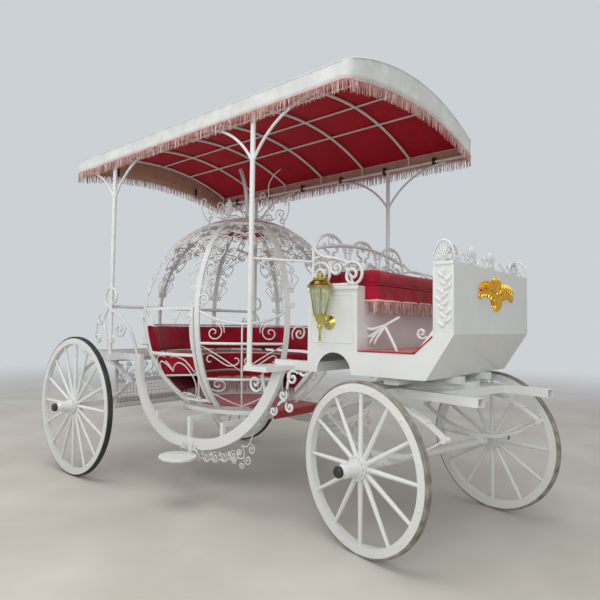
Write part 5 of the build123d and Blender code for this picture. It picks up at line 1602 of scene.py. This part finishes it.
# the brake lever is one forged piece: a foot, a leafy horn at the pivot and a round grip
BRAKE_HORN = (
    ((2.612, 1.222), (2.560, 1.204), (2.515, 1.196), (2.487, 1.204)),
    ((2.612, 1.216), (2.560, 1.184), (2.520, 1.162), (2.492, 1.150)),
    ((2.606, 1.210), (2.570, 1.165), (2.548, 1.135), (2.536, 1.108)),
    ((2.590, 1.208), (2.548, 1.172), (2.520, 1.136), (2.506, 1.112)),
)
BRAKE_GRIP = ((2.590, 1.210), (2.645, 1.238), (2.694, 1.264))
BRAKE_SHANK = ((2.680, 1.076), (2.664, 1.110), (2.636, 1.160), (2.606, 1.212))
PEDAL_CURL = ((2.772, 1.178), (2.800, 1.160), 0.034, 1.4)
PEDAL_FOOT = ((2.800, 1.160), (2.806, 1.120), (2.806, 1.076))


class CARRIAGE_OT_box_trim(bpy.types.Operator):
    """Adds the mouldings of the driver's box, the brake lever and the pedal"""

    bl_idname = "carriage.box_trim"
    bl_label = "Box trim"

    def execute(self, context):
        bm = bmesh.new()
        for side in SIDES.values():
            for (x, y, z), size in BOX_MOULDINGS:
                block(bm, (x, side * y, z), size)
        chamfer(bm, bm.edges, 2.5 * MM, 2)
        put(from_bmesh(bm, "box_mouldings"))
        lever, pedal = side_plane(-0.470), side_plane(-0.360)
        bars("brake_horn", runs(lever, BRAKE_HORN), 10.0 * MM, taper=0.45)
        paths = [mapped(lever, BRAKE_GRIP), *runs(lever, (BRAKE_SHANK,)),
                 *volutes(pedal, (PEDAL_CURL,)), *runs(pedal, (PEDAL_FOOT,))]
        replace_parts(bars("brake_and_pedal", paths, 9.0 * MM, 2, 0.9), "brake_lever")
        return {"FINISHED"}


DOME_STEM = ((0.06, 2.085), (0.12, 2.100), (0.19, 2.085), (0.25, 2.100))
DOME_CURL = ((0.285, 2.140), (0.25, 2.100), 0.045, 1.5)
DOME_SCROLL = ((0.395, 2.030), (0.440, 2.150), 0.9, 0.9, 0.5)
TENDRIL = ((1.02, 2.085), (1.10, 2.11), (1.20, 2.16), (1.25, 2.24), (1.25, 2.33), (1.30, 2.40), (1.38, 2.44))
TENDRIL_CURL = ((1.185, 2.255), (1.235, 2.215), 0.045, 1.6)
LEAF_STALK = ((0.98, 2.10), (0.93, 2.16), (0.88, 2.19), (0.84, 2.20))
LEAF_MIDDLE = Vector((0.82, 0.0, 2.21))


class CARRIAGE_OT_stem_curls(bpy.types.Operator):
    """Bends the stem's leaf and tendril and the curls that stand on the dome"""

    bl_idname = "carriage.stem_curls"
    bl_label = "Stem and tendrils"

    def execute(self, context):
        bar = context.scene.carriage_sizes.scroll_bar
        thick = []
        for azimuth in range(0, 360, 45):
            place = on_plane(CAGE_AXIS, (*ray(radians(azimuth)), 0))
            thick += runs(place, (DOME_STEM,)) + volutes(place, (DOME_CURL,))
            if azimuth % 90 == 0:
                thick.append(mapped(place, scroll(*DOME_SCROLL)))
        flat = side_plane(0.0)
        fine = [*runs(flat, (TENDRIL,)), *volutes(flat, (TENDRIL_CURL,)), *runs(flat, (LEAF_STALK,))]
        bars("dome_curls", thick, bar)
        bars("stem_tendrils", fine, bar * 0.9)
        bm = bmesh.new()
        for i in range(5):
            turn = radians(120 + 30 * i)
            out = Vector((cos(turn), 0.0, sin(turn)))
            leaf(bm, LEAF_MIDDLE + out * 0.045, out, (0, 1, 0), 0.10, 0.042, 0.006)
        put(from_bmesh(bm, "stem_leaf"))
        return {"FINISHED"}


PIECES = (CARRIAGE_OT_stage, CARRIAGE_OT_finishes, CARRIAGE_OT_canopy, CARRIAGE_OT_bench, CARRIAGE_OT_carpet,
          CARRIAGE_OT_driver_seat, CARRIAGE_OT_cage_scrolls, CARRIAGE_OT_panel_scrolls,
          CARRIAGE_OT_side_scrolls, CARRIAGE_OT_rail_scrolls, CARRIAGE_OT_dash_trim, CARRIAGE_OT_lamps,
          CARRIAGE_OT_wheel_trim, CARRIAGE_OT_box_trim, CARRIAGE_OT_stem_curls)


class CARRIAGE_PT_panel(bpy.types.Panel):
    """Lists the carriage's colours, sizes and pieces"""

    bl_idname = "CARRIAGE_PT_panel"
    bl_label = "Pumpkin carriage"
    bl_space_type = "VIEW_3D"
    bl_region_type = "UI"
    bl_category = "Carriage"

    def draw(self, context):
        for group in (context.scene.carriage_colours, context.scene.carriage_sizes):
            for key in group.__annotations__:
                self.layout.prop(group, key)
        for piece in PIECES:
            self.layout.operator(piece.bl_idname)


CLASSES = (CarriageColours, CarriageSizes, *PIECES, CARRIAGE_PT_panel)


def register():
    """Registers the classes and the scene's settings."""
    for item in CLASSES:
        bpy.utils.register_class(item)
    bpy.types.Scene.carriage_colours = PointerProperty(type=CarriageColours)
    bpy.types.Scene.carriage_sizes = PointerProperty(type=CarriageSizes)


def unregister():
    """Removes the classes and the scene's settings."""
    del bpy.types.Scene.carriage_sizes
    del bpy.types.Scene.carriage_colours
    for item in reversed(CLASSES):
        bpy.utils.unregister_class(item)


def main():
    """Builds every piece in order."""
    register()
    for piece in PIECES:
        group, name = piece.bl_idname.split(".")
        getattr(getattr(bpy.ops, group), name)()


if __name__ == "__main__":
    main()
